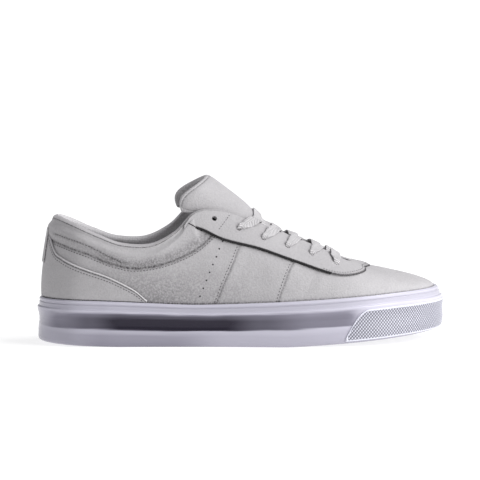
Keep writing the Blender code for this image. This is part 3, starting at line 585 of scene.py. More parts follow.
# Lines seen from the side, x in shares of the sole's length and height in shares of the heel height
COLLAR_SEAM = table(
    ("x", "height"),
    [
        (0.020, 0.850), (0.044, 0.831), (0.086, 0.783), (0.123, 0.741), (0.162, 0.685), (0.205, 0.645),
        (0.228, 0.634), (0.254, 0.638), (0.288, 0.656), (0.323, 0.690), (0.353, 0.730), (0.380, 0.776),
        (0.403, 0.833), (0.425, 0.900),
    ],
)
PAD_STITCH = table(
    ("x", "height"),
    [
        (0.045, 0.900), (0.088, 0.855), (0.127, 0.805), (0.167, 0.738), (0.200, 0.685),
    ],
)
SEAM_BACK = table(
    ("x", "height"),
    [
        (0.496, 0.840), (0.481, 0.749), (0.474, 0.686), (0.464, 0.617), (0.453, 0.536), (0.444, 0.463),
        (0.430, 0.345),
    ],
)
SEAM_FRONT = table(
    ("x", "height"),
    [
        (0.624, 0.690), (0.610, 0.621), (0.600, 0.544), (0.586, 0.424), (0.580, 0.360),
    ],
)


def section_value(name, places):
    return ring_value(EDGE[name], EDGE[name], places)


def skin(places, rises):
    """Outer face of the upper. rises runs from -1 on the cup's floor, through 0 at the sole's top
    edge, to 1 at the free edge. Returns an array of places by rises by three."""
    places = np.asarray(places, dtype=float)
    rises = np.atleast_2d(np.asarray(rises, dtype=float))
    plan, outward = outline(places)
    normal = np.concatenate([outward, np.zeros((len(places), 1))], axis=1)
    foot = np.concatenate([plan - outward * UPPER_INSET, sole_top(plan[:, :1])], axis=1)
    floor = cup_floor(plan[:, 0]) + CLEARANCE
    edge = np.stack([
        x_at(section_value("x", places)),
        ring_value(-EDGE["out"], EDGE["in"], places) * BALL_WIDTH,
        section_value("heel", places) * HEEL_HEIGHT + section_value("instep", places) * INSTEP_HEIGHT,
    ], axis=1)
    reach = np.linalg.norm(edge - foot, axis=1)[:, None]
    bend = {name: section_value(name, places)[:, None] for name in ("rise", "swell", "crown", "fall")}
    low = foot + reach * (bend["swell"] * normal + bend["rise"] * UP)
    high = edge + reach * (bend["crown"] * normal - bend["fall"] * UP)
    t = np.clip(rises, 0.0, 1.0)[..., None]
    face = ((1 - t) ** 3 * foot[:, None] + 3 * (1 - t) ** 2 * t * low[:, None]
            + 3 * (1 - t) * t**2 * high[:, None] + t**3 * edge[:, None])
    face[..., 2] -= np.clip(-rises, 0.0, 1.0) * (foot[:, 2] - floor)[:, None]
    return face


def skin_normals(places, rises):
    places = np.asarray(places, dtype=float)
    rises = np.atleast_2d(np.asarray(rises, dtype=float))
    du, dt = 1e-4, 1e-3
    along = skin(places + du, rises) - skin(places - du, rises)
    up = skin(places, np.minimum(rises + dt, 1.0)) - skin(places, np.maximum(rises - dt, -1.0))
    return unit(np.cross(along, up))


def along_rows(points):
    """How far each point of a grid is from its row's start and from its end."""
    steps = np.linalg.norm(np.diff(points, axis=1), axis=2)
    total = np.concatenate([np.zeros((len(points), 1)), np.cumsum(steps, axis=1)], axis=1)
    return total, total[:, -1:] - total


def edge_distances(places, count=241):
    """For each place the rises from foot to edge, the face there, and how far each is from the edge."""
    rises = np.linspace(0.0, 1.0, count)
    face = skin(places, rises)
    return rises, face, along_rows(face)[1]


def edge_gaps(places, rises):
    """How far rises are from the free edge, with a row of rises for each place."""
    dense, _, gaps = edge_distances(places)
    return np.array([np.interp(np.clip(row, 0, 1), dense, gap) for row, gap in zip(rises, gaps)])


def rise_at_distance(places, distance):
    """The rise at a distance from the free edge, for each place."""
    rises, _, gaps = edge_distances(places)
    distance = np.broadcast_to(distance, (len(gaps),))
    return np.array([np.interp(-d, -gap, rises) for d, gap in zip(distance, gaps)])


def line_points(line):
    """The points of a line seen from the side, in metres, at close steps."""
    knots = np.linspace(0.0, 1.0, len(line["x"]))
    at = np.linspace(0.0, 1.0, 8 * len(knots))
    points = np.stack([x_at(line["x"]), line["height"] * HEEL_HEIGHT], axis=1)
    return bend_through(knots, points, at)


def line_distance(spots, line):
    """Distance of spots, seen from the side, to a line, below zero on its left going along it."""
    points = line_points(line)
    flat = spots.reshape(-1, 2)
    best = np.full(len(flat), 1e9)
    side = np.ones(len(flat))
    for start, end in zip(points[:-1], points[1:]):
        way = end - start
        share = np.clip(((flat - start) @ way) / (way @ way), 0.0, 1.0)
        off = flat - start - share[:, None] * way
        far = np.hypot(off[:, 0], off[:, 1])
        closer = far < best
        best = np.where(closer, far, best)
        side = np.where(closer, np.sign(off[:, 0] * way[1] - off[:, 1] * way[0]), side)
    return (best * side).reshape(spots.shape[:-1])


def hump(distance, width):
    """One at no distance, falling softly to nothing at the width."""
    return np.exp(-(distance / (0.5 * width)) ** 2)


# Soft troughs and ridges pressed in the suede by hand and last: where each lies seen from the side, its
# half length and half width, how it slants and how deep it is, in millimetres and degrees
FOLDS = table(
    ("x", "height", "long", "wide", "slant", "depth"),
    [
        (0.660, 0.520, 16.0, 5.0, 62.0, 0.45), (0.705, 0.500, 13.0, 4.5, 70.0, 0.35),
        (0.540, 0.560, 15.0, 6.0, 78.0, 0.35), (0.330, 0.520, 14.0, 7.0, 20.0, 0.40),
        (0.400, 0.600, 16.0, 7.0, 130.0, 0.35), (0.110, 0.500, 14.0, 6.0, 12.0, 0.30),
        (0.860, 0.440, 12.0, 6.0, 100.0, -0.30), (0.620, 0.450, 12.0, 6.0, 90.0, -0.30),
        (0.250, 0.740, 12.0, 3.5, 8.0, 0.45), (0.150, 0.800, 12.0, 3.5, -20.0, 0.35),
        (0.320, 0.790, 9.0, 3.0, 35.0, 0.40),
    ],
)


# Padding and sunk seams: heights, depths and widths across, and the ring place where the padding ends
PUFF_HEIGHT = 2.2 * MM
PUFF_REACH = 6.0 * MM
PADDING_END = 0.262
COLLAR_SEAM_DEPTH = 0.6 * MM
PAD_STITCH_DEPTH = 0.25 * MM
PANEL_SEAMS = ((SEAM_BACK, 0.45 * MM), (SEAM_FRONT, 0.35 * MM))
PANEL_SEAM_WIDTH = 1.2 * MM
PANEL_STEP = 0.35 * MM
# Where the painted shade on the lower quarter is darkest, its length, and the heights between which it fades
QUARTER_SHADE_X = -76.0 * MM
QUARTER_SHADE_LENGTH = 130.0 * MM
QUARTER_SHADE_LOW, QUARTER_SHADE_FADE = 36.0 * MM, 34.0 * MM


def fold_depth(spots):
    depth = np.zeros(spots.shape[:-1])
    for x, height, long, wide, slant, deep in zip(*FOLDS.values()):
        off = spots - np.array([x_at(x), height * HEEL_HEIGHT])
        turn = math.radians(slant)
        along = off[..., 0] * math.cos(turn) + off[..., 1] * math.sin(turn)
        across = off[..., 1] * math.cos(turn) - off[..., 0] * math.sin(turn)
        depth += deep * MM * np.exp(-(along / (long * MM)) ** 2 - (across / (wide * MM)) ** 2)
    return depth


def upper_relief(places, rises, face, gaps):
    """Lift of the suede off its plain form, and how dark it is at each point: its seam and stitch lines, a
    soft darkening along its foot where it meets the sole, and painted shade under the collar's puff and on
    the lower quarter.
    """
    spots = face[..., [0, 2]]
    x, height = spots[..., 0], spots[..., 1]
    pad = np.clip(section_value("pad", places), 0.0, 1.0)[:, None] * np.ones_like(rises)
    collar = line_distance(spots, COLLAR_SEAM)
    padded = soft_step((PADDING_END - np.minimum(places, 1 - places)[:, None]) / 0.02) * (rises > 0.3)
    above = soft_step((collar * -1 + 0.5 * MM) / (1.5 * MM)) * soft_step((pad - 0.02) / 0.1)
    puff = above * padded * soft_step(np.abs(collar) / PUFF_REACH) * soft_step(gaps / (5 * MM)) * PUFF_HEIGHT
    lift = puff - COLLAR_SEAM_DEPTH * hump(collar, 2.4 * MM) * padded
    # The collar's seam line is dark, and painted shade lies on the underside of its puff just above the seam,
    # weaker towards the heel
    heelward = 0.45 + 0.55 * soft_step((x + 125 * MM) / (35 * MM))
    dark = (0.65 * hump(collar, 2.0 * MM) + 0.45 * heelward * hump(collar + 3.5 * MM, 7 * MM)) * padded
    stitch = line_distance(spots, PAD_STITCH)
    lift -= PAD_STITCH_DEPTH * hump(stitch, 2 * MM) * padded
    dark += 0.30 * hump(stitch, 1.6 * MM) * padded
    for line, deep in PANEL_SEAMS:
        seam = line_distance(spots, line)
        inside = (x > -60 * MM) & (x < 60 * MM)
        step = PANEL_STEP * soft_step(0.5 - seam / PANEL_SEAM_WIDTH) * soft_step(1 - np.abs(seam) / (9 * MM))
        lift += inside * (step - deep * hump(seam, PANEL_SEAM_WIDTH))
        dark += inside * 0.6 * hump(seam, 0.9 * MM)
    dark += 0.5 * (1 - soft_step(rises / 0.035)) * (rises > -0.5)
    # Painted shade on the lower quarter behind the middle, darkest near the sole and fading upwards
    quarter_shade = hump(x - QUARTER_SHADE_X, QUARTER_SHADE_LENGTH)
    dark += 0.40 * quarter_shade * (1 - soft_step((height - QUARTER_SHADE_LOW) / QUARTER_SHADE_FADE))
    return lift - fold_depth(spots) * soft_step(rises / 0.1), np.clip(dark, 0.0, 1.0)


def wall_thickness(places, gaps):
    fade = soft_step((COLLAR_PAD_DEPTH - gaps) / (0.5 * COLLAR_PAD_DEPTH))
    pad = np.clip(section_value("pad", places), 0.0, 1.0)[:, None]
    return UPPER_WALL + (COLLAR_PAD - UPPER_WALL) * pad * fade


def make_upper():
    places = np.arange(UPPER_COLUMNS) / UPPER_COLUMNS
    rises = np.concatenate([np.linspace(-1, -0.2, 3), np.linspace(-0.1, 0.1, 12),
                            np.linspace(0.112, 0.925, 80), np.linspace(0.932, 1.0, 14)])
    grid = np.broadcast_to(rises, (UPPER_COLUMNS, len(rises)))
    face = skin(places, rises)
    normals = skin_normals(places, rises)
    lift, dark = upper_relief(places, grid, face, edge_gaps(places, grid))
    outer = face + normals * lift[..., None]
    within = np.concatenate([np.linspace(-1, 0, 4), np.linspace(0.08, 1.0, 24)])
    wall = wall_thickness(places, edge_gaps(places, np.broadcast_to(within, (UPPER_COLUMNS, len(within)))))
    inner = skin(places, within) - skin_normals(places, within) * wall[..., None]
    tangent = unit(outer[:, -1] - outer[:, -2])
    middle = (outer[:, -1] + inner[:, -1]) / 2
    radius = np.linalg.norm(outer[:, -1] - inner[:, -1], axis=1)[:, None] / 2
    near = soft_step((section_value("pad", places) - 0.02) / 0.3)[:, None]
    bound = BINDING_LIFT * near * soft_step((BINDING_TURNS - BINDING_FROM) / 6.0)
    bound *= 1 - soft_step((BINDING_TURNS - BINDING_TO) / 6.0)
    rim = [middle + (radius + bound[:, i:i + 1])
           * (normals[:, -1] * math.cos(turn) + tangent * math.sin(turn) * RIM_FLATNESS)
           for i, turn in enumerate(np.radians(BINDING_TURNS))]
    loops = np.concatenate([outer, np.stack(rim, axis=1), inner[:, ::-1]], axis=1)
    loop = loops.shape[1]
    faces = grid_faces(UPPER_COLUMNS, loop, closed=True)
    wrap = grid_faces(2, loop, closed=True)
    last = (UPPER_COLUMNS - 1) * loop
    faces += [tuple(last + i if i < loop else i - loop for i in quad) for quad in wrap]
    row_of_face = np.tile(np.arange(loop), UPPER_COLUMNS)
    first_lining = len(rises) + np.searchsorted(BINDING_TURNS, BINDING_TO)
    lining = (row_of_face >= first_lining) & (row_of_face < loop - 1)
    bound_dark = 0.9 * near * hump(BINDING_TURNS - BINDING_FROM, 9.0)
    dark_all = np.concatenate([dark, bound_dark, np.zeros((UPPER_COLUMNS, inner.shape[1]))], axis=1)
    finishes = [suede_material("grey_suede", "#B2B0B2", "#A2A0A2", "#4A484A"),
                lining_cloth("collar_lining", "#DEDCDE", "#B8B6B8")]
    return new_piece("upper_suede", loops.reshape(-1, 3), faces, finishes, marks={"seam": dark_all.ravel()},
                     face_materials=lining.astype(int))


def suede_material(name, light, shade, seam_and_shade_tone):
    """Suede: split leather, brushed and napped. Fine grain and broad brushed patches change its tone, and
    its napped face gives it a soft sheen with no gloss. The mark seam darkens it at seams, stitch lines,
    pressed lines and the upper's foot, and as painted shade under the collar's puff, on the lower quarter and
    on the overlays' edges and undersides. A second mark lays on a painted highlight in light grey along an
    edge."""
    material, tree, shader = new_material(name, Roughness=0.92, IOR=1.4, Sheen_Weight=0.35,
                                          Sheen_Roughness=0.45, Sheen_Tint=linear("#F4F2F4"))
    where = own_places(tree)
    brushed = add_node(tree, "ShaderNodeMapping", {"Scale": (1.0, 1.0, 1.6), "Rotation": (0.0, 0.5, 0.0)},
                       {"Vector": where}).outputs["Vector"]
    patch = noise(tree, brushed, Scale=55.0, Detail=4.0, Roughness=0.6, Distortion=0.6)
    # Grain of suede is about 0.3 mm and is drawn at 1.1 mm, so that it still shows in the picture
    grain = noise(tree, where, Scale=800.0, Detail=2.0, Roughness=0.6)
    mixed = maths(tree, "MULTIPLY_ADD", grain, 0.60, maths(tree, "MULTIPLY", patch, 0.40))
    tone = ramp(tree, mixed, ((0.30, shade), (0.68, light)), "LINEAR")
    fuzz = ramp(tree, grain, ((0.38, 1.25), (0.64, 0.5)), "LINEAR")
    # The mark seam carries seam lines and painted shade alike, broken up by the grain
    seam_and_shade_fuzzed = maths(tree, "MULTIPLY", mark(tree, "seam"), fuzz, clamp=True)
    sewn = blended(tree, seam_and_shade_fuzzed, tone, linear(seam_and_shade_tone))
    # Painted highlight along an edge, in light grey
    cut = blended(tree, mark(tree, "highlit_edge"), sewn, linear("#E4E2E4"))
    finish(tree, shader, cut, maths(tree, "MULTIPLY_ADD", grain, 0.5, mixed), 0.7, 0.5 * MM)
    return material


def lining_cloth(name, light, dark):
    """Knitted lining with a fine mesh of loops about 1.2 mm apart."""
    material, tree, shader = new_material(name, Roughness=0.95, Sheen_Weight=0.2)
    loops = add_node(tree, "ShaderNodeTexVoronoi", {"Scale": 800.0, "Randomness": 0.3},
                     {"Vector": own_places(tree)}).outputs["Distance"]
    tone = ramp(tree, loops, ((0.1, light), (0.7, dark)), "LINEAR")
    finish(tree, shader, tone, loops, 0.5, 0.3 * MM, invert=True)
    return material


upper = make_upper()
place_piece(upper, "suede", "upper")


# Eyelets. Six plain punched holes on each side of the throat, through the overlay and the upper.
EYELET_RADIUS = 1.9 * MM
EYELET_FIRST_X = -21.5 * MM
EYELET_PITCH = 17.8 * MM
# How far each row is from the throat's edge, from the ankle to the toe
EYELET_INSETS = np.array([7.2, 11.9, 14.6, 14.9, 17.4, 25.1]) * MM
EYELET_ROWS = len(EYELET_INSETS)


def place_beside_throat(x, distance, side):
    """Ring place and rise at a distance from the throat's edge, on one side, where x is as asked."""
    places = np.linspace(0.18, 0.49, 160)
    if side > 0:
        places = 1.0 - places
    rises = rise_at_distance(places, distance)
    line = skin(places, rises[:, None])[:, 0, 0]
    place = np.interp(x, line, places)
    return place, rise_at_distance(np.array([place]), distance)[0]


def skin_spot(place, rise):
    """One point on the upper's face and the face's normal there."""
    return skin([place], [rise])[0, 0], skin_normals([place], [rise])[0, 0]


def eyelet_x(row):
    return EYELET_FIRST_X + row * EYELET_PITCH


def eyelet_frame(row, side):
    """Centre of an eyelet on the upper's face, the face's normal and the way along the throat."""
    place, rise = place_beside_throat(eyelet_x(row), EYELET_INSETS[row], side)
    centre, normal = skin_spot(place, rise)
    along = skin([place + 0.002], [rise])[0, 0] - skin([place - 0.002], [rise])[0, 0]
    return centre, normal, unit(along)


def eyelet_rims(row, side, radius, levels, sides):
    """Rings of points round an eyelet, one for each level off the upper's face."""
    centre, normal, along = eyelet_frame(row, side)
    across = np.cross(normal, along)
    turns = np.arange(sides) * 2 * math.pi / sides
    return [centre + normal * level + radius * (along * math.cos(turn) + across * math.sin(turn))
            for level in levels for turn in turns]


def punch(piece, sides=20, depth=7.0 * MM):
    """Cut the eyelets through a piece, square to the upper's face."""
    points, faces = [], []
    for row in range(EYELET_ROWS):
        for side in (-1, 1):
            start = len(points)
            middle = start + sides
            points += eyelet_rims(row, side, EYELET_RADIUS, (-depth, depth), sides)
            faces += [tuple(range(start, middle))[::-1], tuple(range(middle, middle + sides))]
            faces += [(start + i, start + (i + 1) % sides, middle + (i + 1) % sides, middle + i)
                      for i in range(sides)]
    mesh = bpy.data.meshes.new("punch")
    mesh.from_pydata([tuple(p + SHIFT) for p in points], [], faces)
    tool = add_object("punch", mesh)
    modifier = piece.modifiers.new("punch", "BOOLEAN")
    modifier.object, modifier.solver = tool, "EXACT"
    evaluated = piece.evaluated_get(bpy.context.evaluated_depsgraph_get())
    punched = bpy.data.meshes.new_from_object(evaluated)
    piece.modifiers.clear()
    piece.data = punched
    bpy.data.objects.remove(tool)
    return piece


punch(upper)


def make_eyelet_shadows(sides=16):
    """Small dark discs just under the upper behind each eyelet, the shade inside the hole."""
    points, faces = [], []
    for row in range(EYELET_ROWS):
        for side in (-1, 1):
            faces.append(tuple(range(len(points), len(points) + sides)))
            points += eyelet_rims(row, side, EYELET_RADIUS * 1.2, (-UPPER_WALL - 0.2 * MM,), sides)
    shade = new_material("eyelet_shade", Base_Color=linear("#1E1C1E"), Roughness=1.0)[0]
    return place_piece(new_piece("eyelet_shadows", points, faces, [shade]), "suede")


make_eyelet_shadows()


# Overlays. Suede pieces cut with a clean edge and sewn over the upper: the eyestay round the throat,
# the counter round the heel and a narrow tab up the back seam.
OVERLAY_THICKNESS = 1.3 * MM
OVERLAY_GAP = 0.4 * MM
OVERLAY_EDGE = 0.8 * MM
EYESTAY_WIDTH = 17.8 * MM
COUNTER_LENGTH = 0.262
COUNTER_FOOT = 0.012
HEEL_TAB_WIDTH = 19.0 * MM
HEEL_TAB_LOW, HEEL_TAB_HIGH = 0.655 * HEEL_HEIGHT, 0.935 * HEEL_HEIGHT
HEEL_TAB_LIFT = 1.5 * MM
HEEL_TAB_THICKNESS = 1.1 * MM
COUNTER_EDGE = table(
    ("x", "height"),
    [
        (0.000, 0.955), (0.029, 0.950), (0.034, 0.860), (0.042, 0.770), (0.058, 0.716), (0.084, 0.670),
        (0.122, 0.622), (0.160, 0.580), (0.200, 0.518), (0.240, 0.440), (0.258, 0.385), (0.280, 0.300),
    ],
)


def overlay(name, places, low, high, rows, lift, thick, material, highlit_edge=0.0):
    """A layer on the upper between two rises at each place, with rounded cut edges; its edges and underside
    are darkened as painted shade. The last argument is how strongly a painted highlight runs along its upper
    edge, over a pressed line that takes the stitches."""
    share = (1 - np.cos(np.linspace(0.0, math.pi, rows))) / 2
    rises = low[:, None] + (high - low)[:, None] * share
    face, normal = skin(places, rises), skin_normals(places, rises)
    from_low, from_high = along_rows(face)
    gap = np.minimum(from_low, from_high)
    from_start, from_end = along_rows(face.transpose(1, 0, 2))
    gap = np.minimum(gap, np.minimum(from_start, from_end).T)
    round_off = np.clip(gap / OVERLAY_EDGE, 0.0, 1.0)
    lifted = lift + thick * (0.25 + 0.75 * np.sqrt(1 - (1 - round_off) ** 2))
    top = face + normal * lifted[..., None]
    under = face + normal * (lift * 0.4)
    loops = np.concatenate([top, under[:, ::-1]], axis=1)
    pressed = 1.4 * hump(from_high - 1.6 * MM, 1.1 * MM) * highlit_edge
    # Painted shade: the cut edges are darkened, and the whole underside too, for the shade in the gap under
    # the overlay; where the top edge is highlit, a darker pressed stitch line lies under it instead
    edge = np.concatenate([np.where(highlit_edge * (from_high < 3 * MM), pressed, 0.8 * hump(gap, 1.2 * MM)),
                           np.full_like(gap, 0.7)], axis=1)
    # Painted highlight along the top edge, in light grey
    painted_highlight = np.concatenate([highlit_edge * hump(from_high - 0.3 * MM, 0.9 * MM), np.zeros_like(gap)], axis=1)
    return new_piece(name, loops.reshape(-1, 3), tube_faces(*loops.shape[:2]), [material],
                     marks={"seam": edge.ravel(), "highlit_edge": painted_highlight.ravel()})


def eyestay_rises():
    places = np.linspace(0.2, 0.8, 460)
    share = np.maximum(section_value("stay", places), 0.08)
    return places, rise_at_distance(places, EYESTAY_WIDTH * share), rise_at_distance(places, 0.0) - 0.004


def smoothed(values, reach):
    """Values averaged with their neighbours, as many to each side as the reach."""
    count = 2 * reach + 1
    return np.convolve(np.pad(values, reach, mode="edge"), np.ones(count) / count, "valid")


def counter_rises():
    reach = np.linspace(-0.5, 0.5, 4001)
    within = reach[length_share(outline(reach)[0][:, 0]) < COUNTER_LENGTH]
    places = np.linspace(within[0], within[-1], 300)
    rises, face, _ = edge_distances(places)
    high = []
    for row in face:
        edge = bend_through(COUNTER_EDGE["x"], COUNTER_EDGE["height"], length_share(row[:, 0]))
        over = row[:, 2] - edge * HEEL_HEIGHT
        above = np.nonzero(over > 0)[0]
        first = max(above[0], 1) if len(above) else len(rises) - 1
        share = np.clip(-over[first - 1] / (over[first] - over[first - 1] + 1e-12), 0.0, 1.0)
        high.append(rises[first - 1] + share * (rises[first] - rises[first - 1]))
    return places, np.full(len(places), COUNTER_FOOT), smoothed(np.clip(high, 0.05, 0.93), 2)


def heel_tab_rises():
    reach = np.linspace(-0.06, 0.06, 401)
    edge = np.interp(HEEL_TAB_WIDTH / 2, -outline(reach)[0][:, 1], reach)
    places = np.linspace(-edge, edge, 60)
    rises, face, _ = edge_distances(places)
    low, high = (np.array([np.interp(level, row[:, 2], rises) for row in face])
                 for level in (HEEL_TAB_LOW, HEEL_TAB_HIGH))
    return places, low, high


overlay_finish = suede_material("overlay_suede", "#AEACAE", "#A09EA0", "#484648")
stay = eyestay_rises()
eyestay = punch(overlay("eyestay_overlay", *stay, 34, OVERLAY_GAP, OVERLAY_THICKNESS, overlay_finish))
place_piece(eyestay, "overlay_suede", "eyestay")
counter = counter_rises()
# The heel counter gets a painted highlight along its top edge, over its pressed stitch line
heel_counter = overlay("heel_counter_overlay", *counter, 90, OVERLAY_GAP, OVERLAY_THICKNESS, overlay_finish,
                       highlit_edge=0.6)
place_piece(heel_counter, "overlay_suede", "heel_counter")
heel_tab = overlay("heel_tab_overlay", *heel_tab_rises(), 50, HEEL_TAB_LIFT, HEEL_TAB_THICKNESS,
                   overlay_finish)
place_piece(heel_tab, "overlay_suede", "heel_tab")


# Tongue. A padded strip under the lace: suede outside, foam and a knitted lining behind, its edge
# turned and sewn, so the lining shows as a darker band beyond the suede at its top and sides.
TONGUE_HEIGHT = 124.0 * MM
TONGUE_THICKNESS = 5.0 * MM
TONGUE_EDGE = 2.2 * MM
TONGUE_SIDE_REACH = 42.0 * MM
# How its top edge bows up to the sides and comes down again at its corners, in shares of its length
TONGUE_BOW, TONGUE_CORNER = 0.108, 0.106
TONGUE_LINE = table(
    ("x", "height", "radius", "half", "thick"),
    [
        (0.811, 0.388, 0.290, 0.200, 0.55), (0.775, 0.418, 0.290, 0.215, 0.60),
        (0.734, 0.480, 0.272, 0.235, 0.70), (0.687, 0.546, 0.265, 0.250, 0.80),
        (0.640, 0.604, 0.255, 0.265, 0.90), (0.594, 0.661, 0.235, 0.280, 1.00),
        (0.547, 0.742, 0.212, 0.295, 1.00), (0.510, 0.829, 0.203, 0.310, 1.00),
        (0.470, 0.906, 0.207, 0.345, 1.00), (0.418, 1.000, 0.235, 0.450, 1.00),
    ],
)


def tongue_frame(shares):
    """Centre points, directions and half-pipe sizes of the tongue at shares of its length."""
    line = np.stack([x_at(TONGUE_LINE["x"]), TONGUE_LINE["height"] * TONGUE_HEIGHT], axis=1)
    knots = run_along(line)
    length = knots[-1]
    places = np.clip(shares, 0.0, 1.0) * length
    along = bend_through(knots, line, np.minimum(places + MM, length))
    along = unit(along - bend_through(knots, line, np.maximum(places - MM, 0.0)))
    beyond = (np.asarray(shares) - 1.0).clip(0.0)[:, None] * length
    sizes = [bend_through(knots, TONGUE_LINE[name], places) for name in ("radius", "half", "thick")]
    return (bend_through(knots, line, places) + along * beyond, along, sizes[0] * BALL_WIDTH,
            sizes[1] * BALL_WIDTH, sizes[2] * TONGUE_THICKNESS)


def tongue_face(shares, turns):
    """Outer face of the tongue. turns runs from -1 to 1 across it. Gives points and normals."""
    centre, along, radius, half, thick = tongue_frame(shares)
    axis = np.stack([along[:, 0], np.zeros(len(along)), along[:, 1]], axis=1)
    lift = np.stack([along[:, 1], np.zeros(len(along)), -along[:, 0]], axis=1)
    angle = turns * half / radius
    normal = lift * np.cos(angle)[:, None] + np.array([0.0, 1.0, 0.0]) * np.sin(angle)[:, None]
    start = np.stack([centre[:, 0], np.zeros(len(centre)), centre[:, 1]], axis=1)
    return start - lift * radius[:, None] + normal * radius[:, None], normal, axis, thick


def make_tongue():
    columns, rows = 73, 150
    turns = np.sin(np.linspace(-math.pi / 2, math.pi / 2, columns) * 0.9) / math.sin(math.pi / 2 * 0.9)
    loops, marks, cloth = [], [], []
    for turn in turns:
        stop = 1.0 + TONGUE_BOW * turn**2 - TONGUE_CORNER * turn**8
        shares = stop * np.sin(np.linspace(0.0, math.pi / 2, rows)) ** 0.9
        face, normal, _, thick = tongue_face(shares, np.full(rows, turn))
        length = np.linalg.norm(tongue_face(np.array([0.0]), np.array([turn]))[0] - face[-1])
        gap = np.minimum((stop - shares) * length, (1 - abs(turn)) * TONGUE_SIDE_REACH)
        puff = 0.7 * MM * soft_step(gap / (7 * MM)) - 0.5 * MM
        body = thick * (1.0 - 0.55 * abs(turn) ** 4)
        edge = body * 0.5 * (1 - np.sqrt(1 - (1 - np.clip(gap / TONGUE_EDGE, 0, 1)) ** 2))
        out = face + normal * (puff - edge)[:, None]
        back = face - normal * (body - edge)[:, None]
        loops.append(np.concatenate([out, back[::-1]]))
        marks.append(np.concatenate([0.7 * hump(gap - 2.6 * MM, 1.3 * MM), np.zeros(rows)]))
        cloth.append(np.concatenate([gap < TONGUE_EDGE, np.ones(rows, dtype=bool)]))
    loops = np.array(loops)
    lining = np.append(np.array(cloth)[:-1].ravel(), (True, True))
    finishes = [suede_material("tongue_suede", "#B0AEB0", "#A09EA0", "#5E5C5E"),
                lining_cloth("tongue_lining", "#CECCCE", "#ACAAAC")]
    piece = new_piece("tongue_padded", loops.reshape(-1, 3), tube_faces(*loops.shape[:2]), finishes,
                      marks={"seam": np.array(marks).ravel()}, face_materials=lining.astype(int))
    return place_piece(piece, "tongue_suede", "tongue")


make_tongue()


# Insole. A thin foam footbed with a fabric face, cut to the cup and laid in the shoe.
INSOLE_THICKNESS = 4.5 * MM


def make_insole():
    places = np.arange(320) / 320
    x = outline(places)[0][:, 0]
    floor_height = cup_floor(x) + CLEARANCE
    inset = UPPER_INSET + UPPER_WALL + 2 * CLEARANCE
    rounding = 0.3 * INSOLE_THICKNESS
    rings = [ring_points(places, inset + 0.3 * MM, floor_height)]
    for turn in np.linspace(0.0, math.pi / 2, 7):
        rings.append(ring_points(places, inset + rounding * (1 - math.cos(turn)),
                                 floor_height + INSOLE_THICKNESS - rounding * (1 - math.sin(turn))))
    rings += [ring_points(places, inset + rounding + step * MM, floor_height + INSOLE_THICKNESS)
              for step in (2.0, 6.0)]
    rings.append(ring_points(places, inset + 11 * MM, floor_height + INSOLE_THICKNESS - 0.5 * MM))
    piece = new_piece("insole_cloth_faced", np.concatenate(rings), tube_faces(len(rings), len(places)),
                      [footbed_cloth()])
    return place_piece(piece, "footbed_fabric", "insole")


def waves(tree, **values):
    """Slanting bands over the piece, from 0 to 1."""
    return add_node(tree, "ShaderNodeTexWave", values, {"Vector": own_places(tree)},
                    bands_direction="DIAGONAL").outputs["Fac"]


def footbed_cloth():
    """Brushed knit on foam, dark grey, its threads about 1 mm apart."""
    material, tree, shader = new_material("footbed_knit", Roughness=0.95, Sheen_Weight=0.3)
    weave = waves(tree, Scale=320.0, Distortion=1.0, Detail=1.0)
    tone = ramp(tree, weave, ((0.0, "#6E6C70"), (1.0, "#868488")), "LINEAR")
    finish(tree, shader, tone, weave, 0.4, 0.3 * MM)
    return material


make_insole()


# Lace. One flat woven tape, laced from a straight bar at the toe-most eyelets up to the second pair.
# Each run comes up through an eyelet, crosses the tongue and goes under the other side, one eyelet on.
LACE_WIDTH = 8.0 * MM
# How far on to the next row each crossing meets its twin, from the second row of eyelets to the fifth
LACE_CROWNS = (0.86, 0.66, 0.52, 0.44)
LACE_THICKNESS = 1.0 * MM
LACE_LIFT = CLEARANCE + LACE_THICKNESS / 2
LACE_UNDER = UPPER_WALL + 1.6 * MM
# Where the tape is gathered in an eyelet, its width and thickness as shares
LACE_IN_HOLE = (0.36, 1.4)
TAPE_SIDES = 20
UV_STEP = 10.0 * MM
RIB_PITCH = 1.5 * MM


def tongue_at(x, y):
    """Point on the tongue's face at a place seen from above, its normal and the way along it."""
    shares = np.linspace(0.0, 1.0, 300)
    radius, half = tongue_frame(shares)[2:4]
    turns = np.arcsin(np.clip(y / radius, -1.0, 1.0)) * radius / half
    face, normal, axis, _ = tongue_face(shares, turns)
    order = np.argsort(face[:, 0])
    found = [np.array([np.interp(x, face[order, 0], values[order, i]) for i in range(3)])
             for values in (face, normal, axis)]
    return found[0], unit(found[1]), unit(found[2])


def over_tongue(x, y, layers):
    """A lace point over the tongue's face, above a number of lace layers, with the way across."""
    point, up, axis = tongue_at(x, y)
    return point + up * (2 * LACE_LIFT - LACE_THICKNESS / 2 + layers * LACE_THICKNESS), -axis


def flat_ahead(normal):
    """The way towards the toe, laid flat on a face."""
    return np.array([1.0, 0.0, 0.0]) - normal * normal[0]


def in_eyelet(row, side):
    """Stops of the lace under an eyelet and in it. Each stop is a point, the way across the tape there,
    and its width and thickness as shares."""
    centre, normal, _ = eyelet_frame(row, side)
    return [(spot, flat_ahead(normal), *LACE_IN_HOLE) for spot in (centre - normal * LACE_UNDER, centre)]


